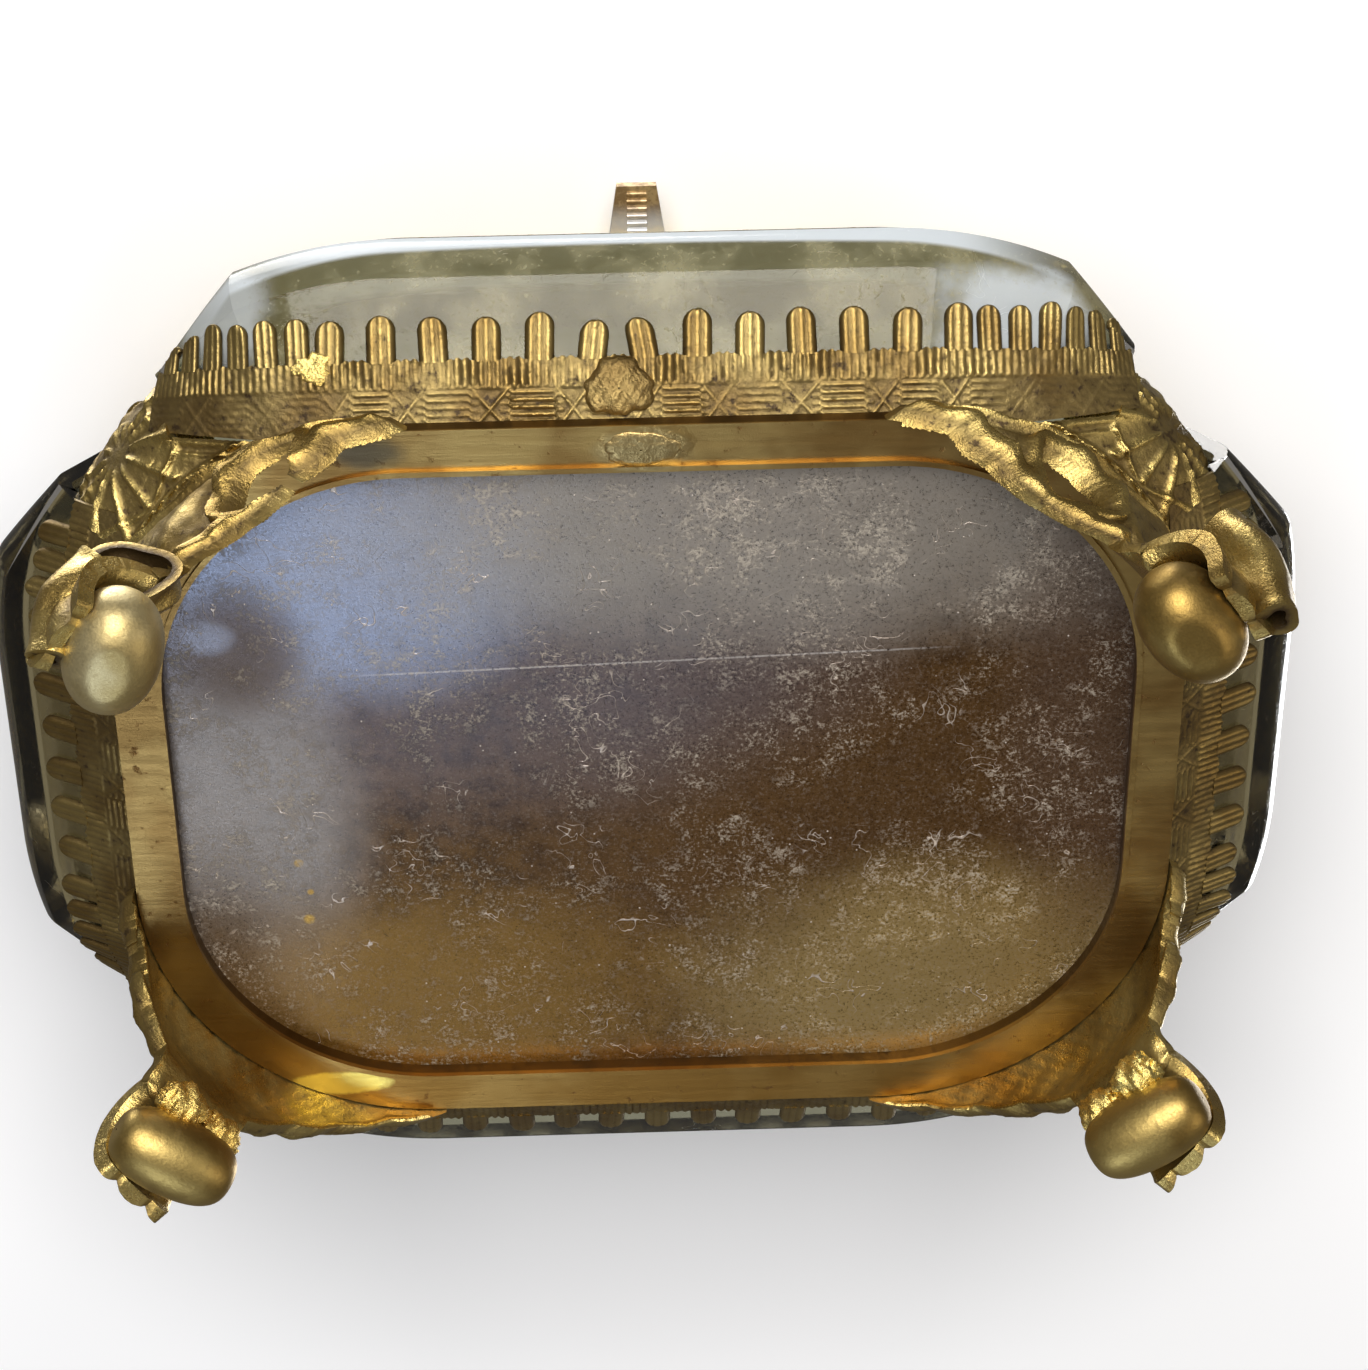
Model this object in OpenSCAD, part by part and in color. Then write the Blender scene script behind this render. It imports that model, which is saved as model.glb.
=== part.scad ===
// Footed glass casket: four bent, bevelled glass panels held between a flat base ring and an
// upper rim by tongued gallery strips, with engraved corner mounts, claw-and-ball feet and a
// hinged lid. The origin is on the table under the middle; +X runs along the front, -Y faces it.

/* [Base ring] */
// Length of the base ring over its outer edge
ring_l = 109.6; // [104:0.2:118]
// Depth of the base ring over its outer edge
ring_w = 85.4; // [80:0.2:94]
// Corner radius of the ring's outer edge
ring_r = 30.6; // [28:0.2:34]
// Width of the ring's flat band
ring_band = 4.4; // [3.8:0.1:6]
// Thickness of the ring
ring_t = 1.6; // [1.2:0.1:2.4]
// Height of the thin lip round the ring's inner edge
ring_lip_h = 0.4; // [0.2:0.1:0.8]
// Width of that lip
ring_lip_w = 0.6; // [0.4:0.1:1]
// Height of the ring's underside above the table
stand_h = 24.5; // [22:0.5:28]
// Thickness of the bottom plate
plate_t = 0.6; // [0.4:0.1:1]

/* [Glass] */
// Thickness of a glass panel
glass_t = 4.2; // [3.5:0.1:5]
// Thickness left at a panel's bevelled edges
glass_edge_t = 1.5; // [1:0.1:2]
// Gap between the glass and the brass that holds it
glass_seat = 0.15; // [0.1:0.05:0.25]
// Slope of the lower bevel above the level
low_bevel_slope = 28.5; // [24:0.5:34]
// Width of the lower bevel
low_bevel_w = 13; // [11:0.2:15]
// Outer radius of the belly
belly_r = 6.5; // [5.5:0.1:8]
// Lean of the glass above the belly
field_lean = 25; // [20:1:30]
// Width of the flat glass above the belly
field_w = 19; // [16:0.5:22]
// Slope of the top bevel above the level
top_bevel_slope = 43; // [38:1:50]
// Width of the top bevel
top_bevel_w = 6.5; // [5.5:0.1:8]
// How far the front and rear panels run round the corners
long_wrap = 39; // [36:1:41]
// How far the side panels run round the corners
short_wrap = 28; // [25:1:31]
// Width of the bevel on a panel's upright edges
side_bevel_w = 7; // [5:0.5:9]

/* [Gallery strips] */
// Thickness of the stamped strip
strip_t = 0.6; // [0.4:0.1:0.8]
// Height of the Greek key and fluted band below the tongues
band_h = 7.8; // [6:0.1:8.4]
// Distance between tongues
pitch = 5.15; // [4.8:0.05:5.6]
// Distance between the crowded tongues at the ends
end_pitch = 3.2; // [3.1:0.05:3.5]
// Width of a tongue
tongue_w = 2.9; // [2.4:0.1:3.2]
// Length of a tongue
tongue_l = 4.4; // [3.5:0.1:5]
// Band of the upper and lid strips below their tongues
upper_band_h = 1.8; // [1.4:0.1:2.2]
// Length of an upper tongue
upper_tongue_l = 3; // [2.4:0.1:3.4]
// Slope at which a strip's lower edge climbs as it turns the corner
end_climb = 6; // [4:0.5:7]

/* [Corner mounts] */
// Thickness of the casting
mount_t = 1.4; // [1:0.1:1.8]
// How far the casting stands out at its fullest
mount_out = 7.4; // [6.5:0.1:8]
// Height of its fullest point above the ring's upper face
mount_full_h = 11; // [10.5:0.1:11.5]

/* [Feet] */
// Direction of a foot, from straight ahead towards the side
foot_turn = 54.5; // [48:0.5:60]
// Thickness of the leaf
leaf_t = 1.2; // [0.9:0.1:1.6]
// Half the width of the ankle
ankle_w = 6.6; // [5.5:0.1:7.5]
// How far the ball's middle lies outside the ring
ball_out = 2.1; // [1:0.1:3]
// Radius of the ball
ball_r = 4.75; // [4.4:0.05:5.2]
// Half the length of the egg-shaped ball
ball_half_l = 6.4; // [5.8:0.1:7]
// Depth of the worn flat under the ball
ball_flat = 0.45; // [0.3:0.05:0.6]
// Gap between the ball and the claw round it
claw_gap = 0.2; // [0.1:0.05:0.3]
// Length of the almond hole in a leaf's short arm
hole_l = 6.5; // [5.5:0.1:7]
// Width of that hole
hole_w = 2.2; // [1.8:0.1:2.5]
// Depth of the scallops along the leaf's edge
scallop_h = 0.5; // [0.3:0.05:0.6]

/* [Upper rim and lid] */
// Inner edge of the rim, inwards from the ring's outer edge
rim_in = 4.8; // [4:0.1:5.5]
// Outer edge of the rim, outwards from the ring's outer edge
rim_out = 1.2; // [0.8:0.1:1.6]
// Thickness of the rim and of the lid's band
rim_t = 1.4; // [1.2:0.1:2]
// Gap between the closed lid and the rim
lid_gap = 0.3; // [0.25:0.05:0.5]
// Thickness of the lid glass in the middle
lid_glass_t = 4.5; // [3.5:0.1:6]
// Thickness of the lid glass at its edge
lid_edge_t = 2.2; // [1.8:0.1:2.8]
// Width of the lid glass bevel
lid_bevel_w = 10; // [7:0.5:13]

/* [Thumb tab] */
// How far the tab stands out from the lid's band
tab_l = 6; // [5:0.1:8]
// Width of the tab at its root
tab_root_w = 6; // [5:0.1:8]
// Width of the tab at its tip
tab_tip_w = 4.2; // [3.4:0.1:5]
// Thickness of the tab
tab_t = 1; // [0.8:0.1:1.4]

/* [Hinge] */
// Outer radius of the knuckles
knuckle_r = 1.5; // [1.3:0.05:1.7]
// Radius of the hinge pin
pin_r = 0.75; // [0.6:0.05:0.9]
// Running gap between the pin and its bores
pin_gap = 0.05; // [0.02:0.01:0.08]
// Length of the lid's knuckle
lid_knuckle_l = 6; // [5:0.5:10]
// Length of each of the body's knuckles
body_knuckle_l = 5; // [4:0.5:8]
// Gap between neighbouring knuckles
knuckle_gap = 0.3; // [0.2:0.05:0.4]
// Distance from the rim's edge to the pin
hinge_out = 2; // [1.9:0.05:2.4]
// Angle at which the heel stops the lid
open_angle = 100; // [92:1:110]

/* [Cushion] */
// Height of the silk pad
cushion_h = 7; // [5:0.5:10]
// Gap left round the pad
cushion_gap = 0.8; // [0.5:0.1:3]

/* [Hidden] */
$fn = 96;

BRASS = [0.72, 0.53, 0.22];
PALE_BRASS = [0.78, 0.64, 0.33];
GLASS = [0.62, 0.68, 0.66, 0.45];
eps = 0.01;
big = 400;

// Centres of the ring's corner arcs.
cx = ring_l / 2 - ring_r;
cy = ring_w / 2 - ring_r;

// Points are [distance outside the ring's edge, height above the ring's underside].
// A heading is the direction of travel up the glass: 0 is outwards, 90 is straight up.
function step(h, d) = d * [cos(h), sin(h)];
function outward(h, d) = d * [sin(h), -cos(h)];
function mitre(h1, h2, d) =
    let (n1 = outward(h1, 1), n2 = outward(h2, 1)) d * (n1 + n2) / (1 + n1 * n2);
function arc_steps(h1, h2, n) = [for (i = [0 : n]) h1 + (h2 - h1) * i / n];

belly_start = 50;
field_heading = 90 + field_lean;
top_heading = 180 - top_bevel_slope;
// Corners of the glass section, from its lower edge to its top edge.
glass_low = [0.6, ring_t + 1.3];
low_arris = glass_low + step(low_bevel_slope, low_bevel_w);
belly_c = low_arris - outward(belly_start, belly_r);
field_start = belly_c + outward(field_heading, belly_r);
top_arris = field_start + step(field_heading, field_w);
glass_top = top_arris + step(top_heading, top_bevel_w);
rim_z = glass_top[1] + glass_seat;
belly_e = belly_c[0] + belly_r;

// The outer line of the glass, moved outwards by d.
function outer_line(d) = concat(
    [glass_low + outward(low_bevel_slope, d),
     low_arris + mitre(low_bevel_slope, belly_start, d)],
    [for (h = arc_steps(belly_start, field_heading, 5)) belly_c + outward(h, belly_r + d)],
    [top_arris + mitre(field_heading, top_heading, d), glass_top + outward(top_heading, d)]);
// The inner line, which closes in on the outer one at both bevelled edges.
inner_line = concat(
    [glass_low - outward(low_bevel_slope, glass_edge_t)],
    [for (h = arc_steps(belly_start, field_heading, 5)) belly_c + outward(h, belly_r - glass_t)],
    [top_arris - outward(field_heading, glass_t),
     glass_top - outward(top_heading, glass_edge_t)]);
function reverse(v) = [for (i = [len(v) - 1 : -1 : 0]) v[i]];
function first(v, n) = [for (i = [0 : n - 1]) v[i]];

// ---- Frames -------------------------------------------------------------------------------

// Stands the children on the ring's underside.
module on_stand() translate([0, 0, stand_h]) children();

// Turns the children so that their -Y side becomes the named side; half is the length of that
// side's straight part, halved.
module facing(side) {
    if (side == "front") translate([0, -cy, 0]) children();
    if (side == "rear") rotate(180) translate([0, -cy, 0]) children();
    if (side == "left") rotate(-90) translate([0, -cx, 0]) children();
    if (side == "right") rotate(90) translate([0, -cx, 0]) children();
}
function half(side) = (side == "front" || side == "rear") ? cx : cy;
function wrap(side) = (side == "front" || side == "rear") ? long_wrap : short_wrap;

// Puts the children, drawn for the front right corner round its arc's centre, on any corner.
module at_corner(right, rear) {
    if (right && !rear) translate([cx, -cy, 0]) children();
    if (!right && !rear) mirror([1, 0, 0]) translate([cx, -cy, 0]) children();
    if (right && rear) mirror([0, 1, 0]) translate([cx, -cy, 0]) children();
    if (!right && rear) rotate(180) translate([cx, -cy, 0]) children();
}

// Runs a section along a side's straight part and on round both corners by an angle.
// In the section, x is measured from the middle line of the arcs and y is height.
module run(h, angle) {
    rotate([90, 0, -90]) linear_extrude(2 * h, center = true) children();
    translate([h, 0, 0]) rotate(-90) rotate_extrude(angle = angle) children();
    mirror([1, 0, 0]) translate([h, 0, 0]) rotate(-90) rotate_extrude(angle = angle) children();
}
// Runs a section all the way round.
module ring_run() {
    for (side = ["front", "rear", "left", "right"])
        facing(side) rotate([90, 0, -90]) linear_extrude(2 * half(side), center = true) children();
    for (right = [false, true], rear = [false, true])
        at_corner(right, rear) rotate(-90) rotate_extrude(angle = 90) children();
}
// A section that starts on the middle line of the arcs, with the middle filled in.
module slab(bottom, height) {
    ring_run() children();
    translate([-cx, -cy, bottom]) cube([2 * cx, 2 * cy, height]);
}
module section(points) translate([ring_r, 0]) polygon(points);

// ---- Base ---------------------------------------------------------------------------------

module base_ring() color(BRASS) on_stand() ring_run() section([
    [-ring_band, 0], [0, 0], [0, ring_t], [-ring_band - ring_lip_w, ring_t],
    [-ring_band - ring_lip_w, -ring_lip_h], [-ring_band, -ring_lip_h]]);

// The plate lies on the ring's band, inside the feet of the strips.
strip_foot = 2.2;
plate_edge = strip_foot + glass_seat;
module bottom_plate() color([0.36, 0.3, 0.28]) on_stand()
    slab(ring_t, plate_t) polygon([
        [0, ring_t], [ring_r - plate_edge, ring_t],
        [ring_r - plate_edge, ring_t + plate_t], [0, ring_t + plate_t]]);

// ---- Glass --------------------------------------------------------------------------------

// The lower edges of the glass and of the strips each lie in a plane that rises inwards, so
// both climb as they turn the corner. view_tilt is that plane's slope.
view_tilt = 57;
strip_base_w = (ring_r - strip_foot) * sin(view_tilt) + ring_t * cos(view_tilt);
glass_rise = 2.6;

// Everything below the sloping plane at distance w.
module below_plane(w) rotate([90 + view_tilt, 0, 0])
    translate([-big / 2, w - big, -big / 2]) cube([big, big, big]);
// The strips' lower edge leaves that plane this far into the corner, and climbs.
climb_from = 8;

// The slope of an upright edge's bevel.
side_bevel_slope = atan((glass_t - glass_edge_t) / side_bevel_w);
module panel(side) color(GLASS) on_stand() facing(side) difference() {
    run(half(side), wrap(side)) section(concat(outer_line(0), reverse(inner_line)));
    below_plane(strip_base_w + glass_rise);
    for (end = [-1, 1]) translate([end * half(side), 0, 0]) rotate(end * wrap(side)) {
        side_bevel_cut(end, glass_low, low_bevel_slope);
        for (h = arc_steps(belly_start, field_heading, 2))
            side_bevel_cut(end, belly_c + outward(h, belly_r), h);
        side_bevel_cut(end, glass_top, top_heading);
    }
}
// Cuts away what lies outside the bevel where the glass runs up at a heading through point p.
module side_bevel_cut(end, p, heading) let (q = p - outward(heading, glass_t - glass_edge_t))
    translate([0, -ring_r - q[0], q[1]]) rotate([90 - heading, 0, 0]) rotate(end * side_bevel_slope)
        translate([-big / 2, -big, -big / 2]) cube([big, big, big]);

// ---- Gallery strips -----------------------------------------------------------------------

// Where tongue i stands along the strip: evenly in the middle, crowded towards the ends.
crowd_from = 6.8;
function mid_count(side) = floor((half(side) + crowd_from) / pitch);
function place(side, i) = let (m = mid_count(side), a = abs(i))
    sign(i) * (a <= m ? a * pitch : m * pitch + (a - m) * end_pitch);
// The middle of the strip's width stands this far outside the ring.
strip_swing = 10;
mid_r = ring_r + strip_swing;
function end_place(side) = half(side) + wrap(side) * PI / 180 * mid_r;
function tongue_count(side) = let (m = mid_count(side))
    m + floor((end_place(side) - m * pitch - tongue_w / 2) / end_pitch);
// The same place seen square on to the strip.
function seen(side, s) = let (h = half(side), a = abs(s))
    sign(s) * (a <= h ? a : h + mid_r * sin((a - h) / mid_r * 180 / PI));

// One round-ended tongue of width w that reaches from y = 0 to y = l.
module tongue(w, l) {
    r = tongue_round * w;
    translate([-w / 2, -eps]) square([w, l - r + eps]);
    intersection() {
        translate([-w / 2, l - 2 * r]) square([w, 2 * r]);
        translate([0, l - r]) circle(r, $fn = 24);
    }
}
// The end's radius as a share of the tongue's width.
tongue_round = 0.54;
// The space left between crowded tongues.
tongue_space = 0.7;
// The band is drawn this much longer than the sheet it is stamped from.
overrun = 4;
// The strip's outline, seen square on: a straight band, trimmed at its lower corners, with a
// row of tongues.
module strip_outline(side) {
    reach = seen(side, end_place(side)) + overrun;
    turn = half(side) + climb_from;
    climb = (reach - turn) * tan(end_climb);
    n = tongue_count(side);
    polygon([[-turn, 0], [turn, 0], [reach, climb], [reach, band_h],
             [-reach, band_h], [-reach, climb]]);
    for (i = [-n : n]) {
        squeeze = abs(place(side, i)) > half(side)
            ? cos((abs(place(side, i)) - half(side)) / mid_r * 180 / PI) : 1;
        translate([seen(side, place(side, i)), band_h])
            tongue(min(tongue_w, (abs(i) > mid_count(side) ? end_pitch - tongue_space : tongue_w)) * squeeze,
                   tongue_l);
    }
}
// The thin sheet that the strip is stamped from, bent to the glass, and its flat foot.
function strip_line(d) = concat([outer_line(d)[0] - step(low_bevel_slope, strip_root)],
                                first(outer_line(d), 7));
strip_root = 1.1;
module strip_sheet(side) run(half(side), wrap(side) + 1) {
    section(concat(strip_line(glass_seat), reverse(strip_line(glass_seat + strip_t))));
    translate([ring_r - strip_foot, ring_t]) square([strip_foot, strip_t]);
}
module gallery(side) color(PALE_BRASS) on_stand() facing(side) intersection() {
    strip_sheet(side);
    rotate([90 + view_tilt, 0, 0]) translate([0, strip_base_w, 0])
        linear_extrude(big, center = true) strip_outline(side);
}

// ---- Upper gallery ------------------------------------------------------------------------

// Moves the children to distance s along a side, with -Y outwards, r the radius they ride on.
module along(side, s, r) {
    h = half(side);
    if (abs(s) <= h) translate([s, 0, 0]) children();
    else translate([sign(s) * h, 0, 0])
        rotate(sign(s) * (abs(s) - h) / r * 180 / PI) children();
}
upper_r = ring_r + glass_top[0] + 3;
// A tongue is pressed a little thinner than the band it grows from.
tongue_inset = 0.05;
upper_in = glass_top + outward(top_heading, glass_seat);
// The strip's outer face stops under the rim.
upper_out = let (p = upper_in + outward(top_heading, strip_t))
    p - step(top_heading, (p[1] - rim_z) / sin(top_heading));
module gallery_upper(side) {
    angle = wrap(side) - 0.5;
    reach = half(side) + angle * PI / 180 * upper_r - tongue_w / 2;
    n = floor(reach / pitch);
    color(PALE_BRASS) on_stand() facing(side) {
        run(half(side), angle) section([
            upper_in, upper_in - step(top_heading, upper_band_h),
            upper_in - step(top_heading, upper_band_h) + outward(top_heading, strip_t),
            upper_out]);
        for (i = [-n : n]) along(side, i * reach / n, upper_r)
            translate([0, -ring_r - upper_in[0], upper_in[1]])
                rotate([top_bevel_slope - 180, 0, 0])
                    translate([0, upper_band_h, tongue_inset - strip_t])
                        linear_extrude(strip_t - 2 * tongue_inset)
                            tongue(tongue_w, upper_tongue_l);
    }
}

// ---- Corner mounts ------------------------------------------------------------------------

// The casting's section: it swells from the ring, then runs up the corner to the rim.
// Each point of the swell is [inwards from the fullest point, up from it].
mount_swell = [[1.6, -6.1], [0.4, -3], [0, 0], [0.4, 3], [1.8, 7.5]];
mount_top_in = 1.4;
mount_line = concat([[0, ring_t]],
    [for (p = mount_swell) [mount_out - p[0], ring_t + mount_full_h + p[1]]],
    [[glass_top[0] - mount_top_in, rim_z]]);
mount_back = [for (p = mount_line) p - [mount_t, 0]];
// Angle left clear between a panel's upright edge and the post beside it.
post_clear = 1.6;
module mount_sheet(from, to) rotate(-90 + from) rotate_extrude(angle = to - from)
    section(concat(mount_line, reverse(mount_back)));
// Everything above the strips' lower edge, from straight ahead round to an angle.
module above_line(angle) intersection() {
    difference() {
        linear_extrude(rim_z) polygon([[0, 0], [0, -big], big * [tan(angle), -1]]);
        rotate([90 + view_tilt, 0, 0]) translate([0, strip_base_w - glass_seat, 0])
            linear_extrude(big, center = true) polygon([[-big, -big], [-big, 0],
                [climb_from, 0], [climb_from + big, big * tan(end_climb)], [big, -big]]);
    }
    translate([0, 0, ring_t + eps]) linear_extrude(rim_z) translate([-big, -big]) square(2 * big);
}
// Under the strips the casting is a fan along the ring; between the panels it is a post.
module corner_mount(right, rear) color(BRASS) on_stand() at_corner(right, rear) difference() {
    mount_sheet(0, 90);
    above_line(long_wrap + post_clear);
    rotate(90) mirror([1, 0, 0]) above_line(short_wrap + post_clear);
}

// ---- Feet ---------------------------------------------------------------------------------

ball_z = ball_r - ball_flat - stand_h;
module foot_ball(right, rear) color(PALE_BRASS) intersection() {
    on_stand() at_corner(right, rear) rotate(foot_turn)
        translate([0, -ring_r - ball_out, ball_z]) rotate([0, 90, 0])
            rotate_extrude() polygon(concat([[0, -ball_half_l]],
                [for (a = [-80 : 16 : 80]) [ball_r * pow(cos(a), 0.8), ball_half_l * sin(a)]],
                [[0, ball_half_l]]));
    translate([-big / 2, -big / 2, 0]) cube([big, big, big]);
}

// The leaf's section: an S from the ring down to the ankle, then a claw round the ball.
claw_back = 100;
claw_tip = -25;
function claw_line(r) = [for (a = arc_steps(claw_back, claw_tip, 5))
    [ball_out, ball_z] + r * [cos(a), sin(a)]];
leaf_seat = 0.1;
leaf_top = 1;
leaf_swing = [[0.8, -2.5], [1, -5.5], [0, -9], [-0.8, -11.5]];
leaf_back = concat([[leaf_seat, leaf_top], [leaf_seat, 0]], leaf_swing);
leaf_r = ring_r + leaf_seat + leaf_t / 2;
module leaf_sheet() rotate(-90) rotate_extrude(angle = 90) section(concat(
    [for (p = leaf_back) p + [leaf_t, 0]], claw_line(ball_r + claw_gap + leaf_t),
    reverse(claw_line(ball_r + claw_gap)), reverse(leaf_back)));
// The leaf's lower edge from an arm's tip at angle a to the ankle, scalloped like acanthus.
ankle_z = -11;
scallops = 4;
arm_z = -0.4;
arm_hollow = 1.35;
edge_steps = 24;
function arm_edge(a) = let (ankle_a = asin(ankle_w / leaf_r)) [for (i = [0 : edge_steps])
    let (v = i / edge_steps, b = a + (sign(a) * ankle_a - a) * v)
    [leaf_r * sin(b), arm_z + (ankle_z - arm_z) * pow(v, arm_hollow)
                      - scallop_h * abs(sin(180 * scallops * v))]];
toe_z = -22;
toe_steps = 18;
toe_lobe = 0.9;
toe_lift = 1.4;
toe_taper = [1.05, -0.3];
function claw_edge() = [for (i = [0 : toe_steps]) let (v = 2 * i / toe_steps - 1)
    [-ankle_w * v * (toe_taper[0] + toe_taper[1] * v * v),
     toe_z - toe_lobe * abs(cos(270 * v)) + toe_lift * v * v]];
module almond(l, w) {
    r = (l * l + w * w) / (4 * w);
    intersection() {
        translate([0, r - w / 2]) circle(r);
        translate([0, w / 2 - r]) circle(r);
    }
}
module leaf_outline() difference() {
    polygon(concat(
        [[leaf_r * sin(-foot_turn), leaf_top + eps], [leaf_r * sin(90 - foot_turn), leaf_top + eps]],
        arm_edge(90 - foot_turn), claw_edge(), reverse(arm_edge(-foot_turn))));
    // The arms run away from the ankle, and so do their holes.
    translate([hole_place[0] * leaf_r, hole_z]) rotate(hole_lean[0]) almond(hole_l, hole_w);
    translate([-hole_place[1] * leaf_r, hole_z]) rotate(-hole_lean[1])
        almond(hole_l * long_arm, hole_w * long_arm);
}
// Middle of the short and the long arm's hole, as a share of the leaf's radius.
hole_place = [0.4, 0.43];
hole_lean = [33, 30];
hole_z = -3.1;
long_arm = 1.08;
module foot(right, rear) color(BRASS) on_stand() at_corner(right, rear) intersection() {
    leaf_sheet();
    rotate(foot_turn) rotate([90, 0, 0]) linear_extrude(big) leaf_outline();
}

// ---- Upper rim and lid --------------------------------------------------------------------

rim_chamfer = 0.3;
// A flat band with its outer edges broken, from height z up.
module band(z) ring_run() section([
    [-rim_in, z], [rim_out - rim_chamfer, z], [rim_out, z + rim_chamfer],
    [rim_out, z + rim_t - rim_chamfer], [rim_out - rim_chamfer, z + rim_t], [-rim_in, z + rim_t]]);
module upper_rim() color(BRASS) on_stand() band(rim_z);
lid_z = rim_z + rim_t + lid_gap;
lid_top_z = lid_z + rim_t;
module lid_frame() color(BRASS) on_stand() band(lid_z);

// The lid glass lies on the band, inside the upright wall of its strip.
lid_wall_e = -1.2;
lid_glass_r = ring_r + lid_wall_e - strip_t - glass_seat;
lid_glass_z = lid_top_z;
module lid_glass() color(GLASS) on_stand() slab(lid_glass_z, lid_glass_t) polygon([
    [0, lid_glass_z], [lid_glass_r, lid_glass_z], [lid_glass_r, lid_glass_z + lid_edge_t],
    [lid_glass_r - lid_bevel_w, lid_glass_z + lid_glass_t], [0, lid_glass_z + lid_glass_t]]);

// The lid's strip: an upright wall on the band, then a sloping one with tongues on the bevel.
lid_slope = atan((lid_glass_t - lid_edge_t) / lid_bevel_w);
lid_heading = 180 - lid_slope;
lid_fold = [lid_wall_e - strip_t, lid_glass_z + lid_edge_t] + outward(lid_heading, glass_seat);
module lid_gallery() color(PALE_BRASS) on_stand() {
    ring_run() section([
        [lid_wall_e - strip_t, lid_top_z], [lid_wall_e, lid_top_z],
        [lid_wall_e, lid_fold[1] + strip_t],
        lid_fold + step(lid_heading, upper_band_h) + outward(lid_heading, strip_t),
        lid_fold + step(lid_heading, upper_band_h), lid_fold]);
    lid_r = ring_r + lid_fold[0];
    for (side = ["front", "rear", "left", "right"]) {
        n = floor(half(side) / pitch);
        facing(side) for (i = [-n : n]) lid_tongue(i * 2 * half(side) / (2 * n + 1));
    }
    corner_n = floor(lid_r * PI / 2 / pitch);
    for (right = [false, true], rear = [false, true])
        at_corner(right, rear) for (i = [0 : corner_n]) rotate(90 * (i + 0.5) / (corner_n + 1))
            lid_tongue(0);
}
module lid_tongue(x) translate([x, -ring_r - lid_fold[0], lid_fold[1]])
    rotate([lid_slope, 0, 0]) translate([0, upper_band_h, 0])
        translate([0, 0, tongue_inset]) linear_extrude(strip_t - 2 * tongue_inset)
            tongue(tongue_w, upper_tongue_l);

// The tab stands out from the lid's band; grip ribs cross its middle on both faces.
rib_r = 0.3;
rib_count = 6;
tab_z = lid_z + (rim_t - tab_t) / 2;
module thumb_tab() color(BRASS) on_stand() translate([0, -ring_w / 2 - rim_out, tab_z]) {
    linear_extrude(tab_t) polygon([[-tab_root_w / 2, 0], [tab_root_w / 2, 0],
        [tab_tip_w / 2, -tab_l], [-tab_tip_w / 2, -tab_l]]);
    for (i = [1 : rib_count], z = [0, tab_t])
        translate([0, -i * tab_l / (rib_count + 1), z]) rotate([0, 90, 0])
            cylinder(r = rib_r, h = tab_tip_w / 2, center = true, $fn = 24);
}

// ---- Hinge --------------------------------------------------------------------------------

axis_y = ring_w / 2 + rim_out + hinge_out;
axis_z = rim_z + rim_t + lid_gap / 2;
// A bored tube on the pin, centred at x, with a web to the band whose underside is at z.
module knuckle(x, l, z) difference() {
    union() {
        translate([x, axis_y, axis_z]) rotate([0, 90, 0]) cylinder(r = knuckle_r, h = l, center = true);
        translate([x - l / 2, axis_y - hinge_out, z + rim_chamfer])
            cube([l, hinge_out, rim_t - 2 * rim_chamfer]);
    }
    translate([x, axis_y, axis_z]) rotate([0, 90, 0])
        cylinder(r = pin_r + pin_gap, h = l + 1, center = true);
}
body_knuckle_x = (lid_knuckle_l + body_knuckle_l) / 2 + knuckle_gap;
module hinge_knuckles_body() color(BRASS) on_stand() for (end = [-1, 1])
    knuckle(end * body_knuckle_x, body_knuckle_l, rim_z);
// The lid's knuckle carries a heel that meets the rim's rear edge when the lid is open.
heel_gap = 0.1;
heel_h = [-1.6, -0.5];
module hinge_knuckle_lid() color(BRASS) on_stand() difference() {
    union() {
        knuckle(0, lid_knuckle_l, lid_z);
        translate([0, axis_y, axis_z]) rotate([open_angle, 0, 0])
            translate([-lid_knuckle_l / 2, heel_gap - hinge_out, heel_h[0]])
                cube([lid_knuckle_l, hinge_out - heel_gap, heel_h[1] - heel_h[0]]);
    }
    translate([0, axis_y, axis_z]) rotate([0, 90, 0])
        cylinder(r = pin_r + pin_gap, h = lid_knuckle_l + 1, center = true);
}
module hinge_pin() color(PALE_BRASS) on_stand() translate([0, axis_y, axis_z])
    rotate([0, 90, 0])
        cylinder(r = pin_r, h = 2 * body_knuckle_x + body_knuckle_l + 0.6, center = true);

// ---- Cushion ------------------------------------------------------------------------------

cushion_r = ring_r - rim_in - cushion_gap;
cushion_z = ring_t + plate_t + 0.3;
pad_round = 1.8;
module cushion() color([0.55, 0.5, 0.33]) on_stand() slab(cushion_z, cushion_h) polygon([
    [0, cushion_z], [cushion_r - pad_round, cushion_z],
    [cushion_r, cushion_z + pad_round], [cushion_r, cushion_z + cushion_h - pad_round],
    [cushion_r - pad_round, cushion_z + cushion_h], [0, cushion_z + cushion_h]]);

// ---- Nodes --------------------------------------------------------------------------------

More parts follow.
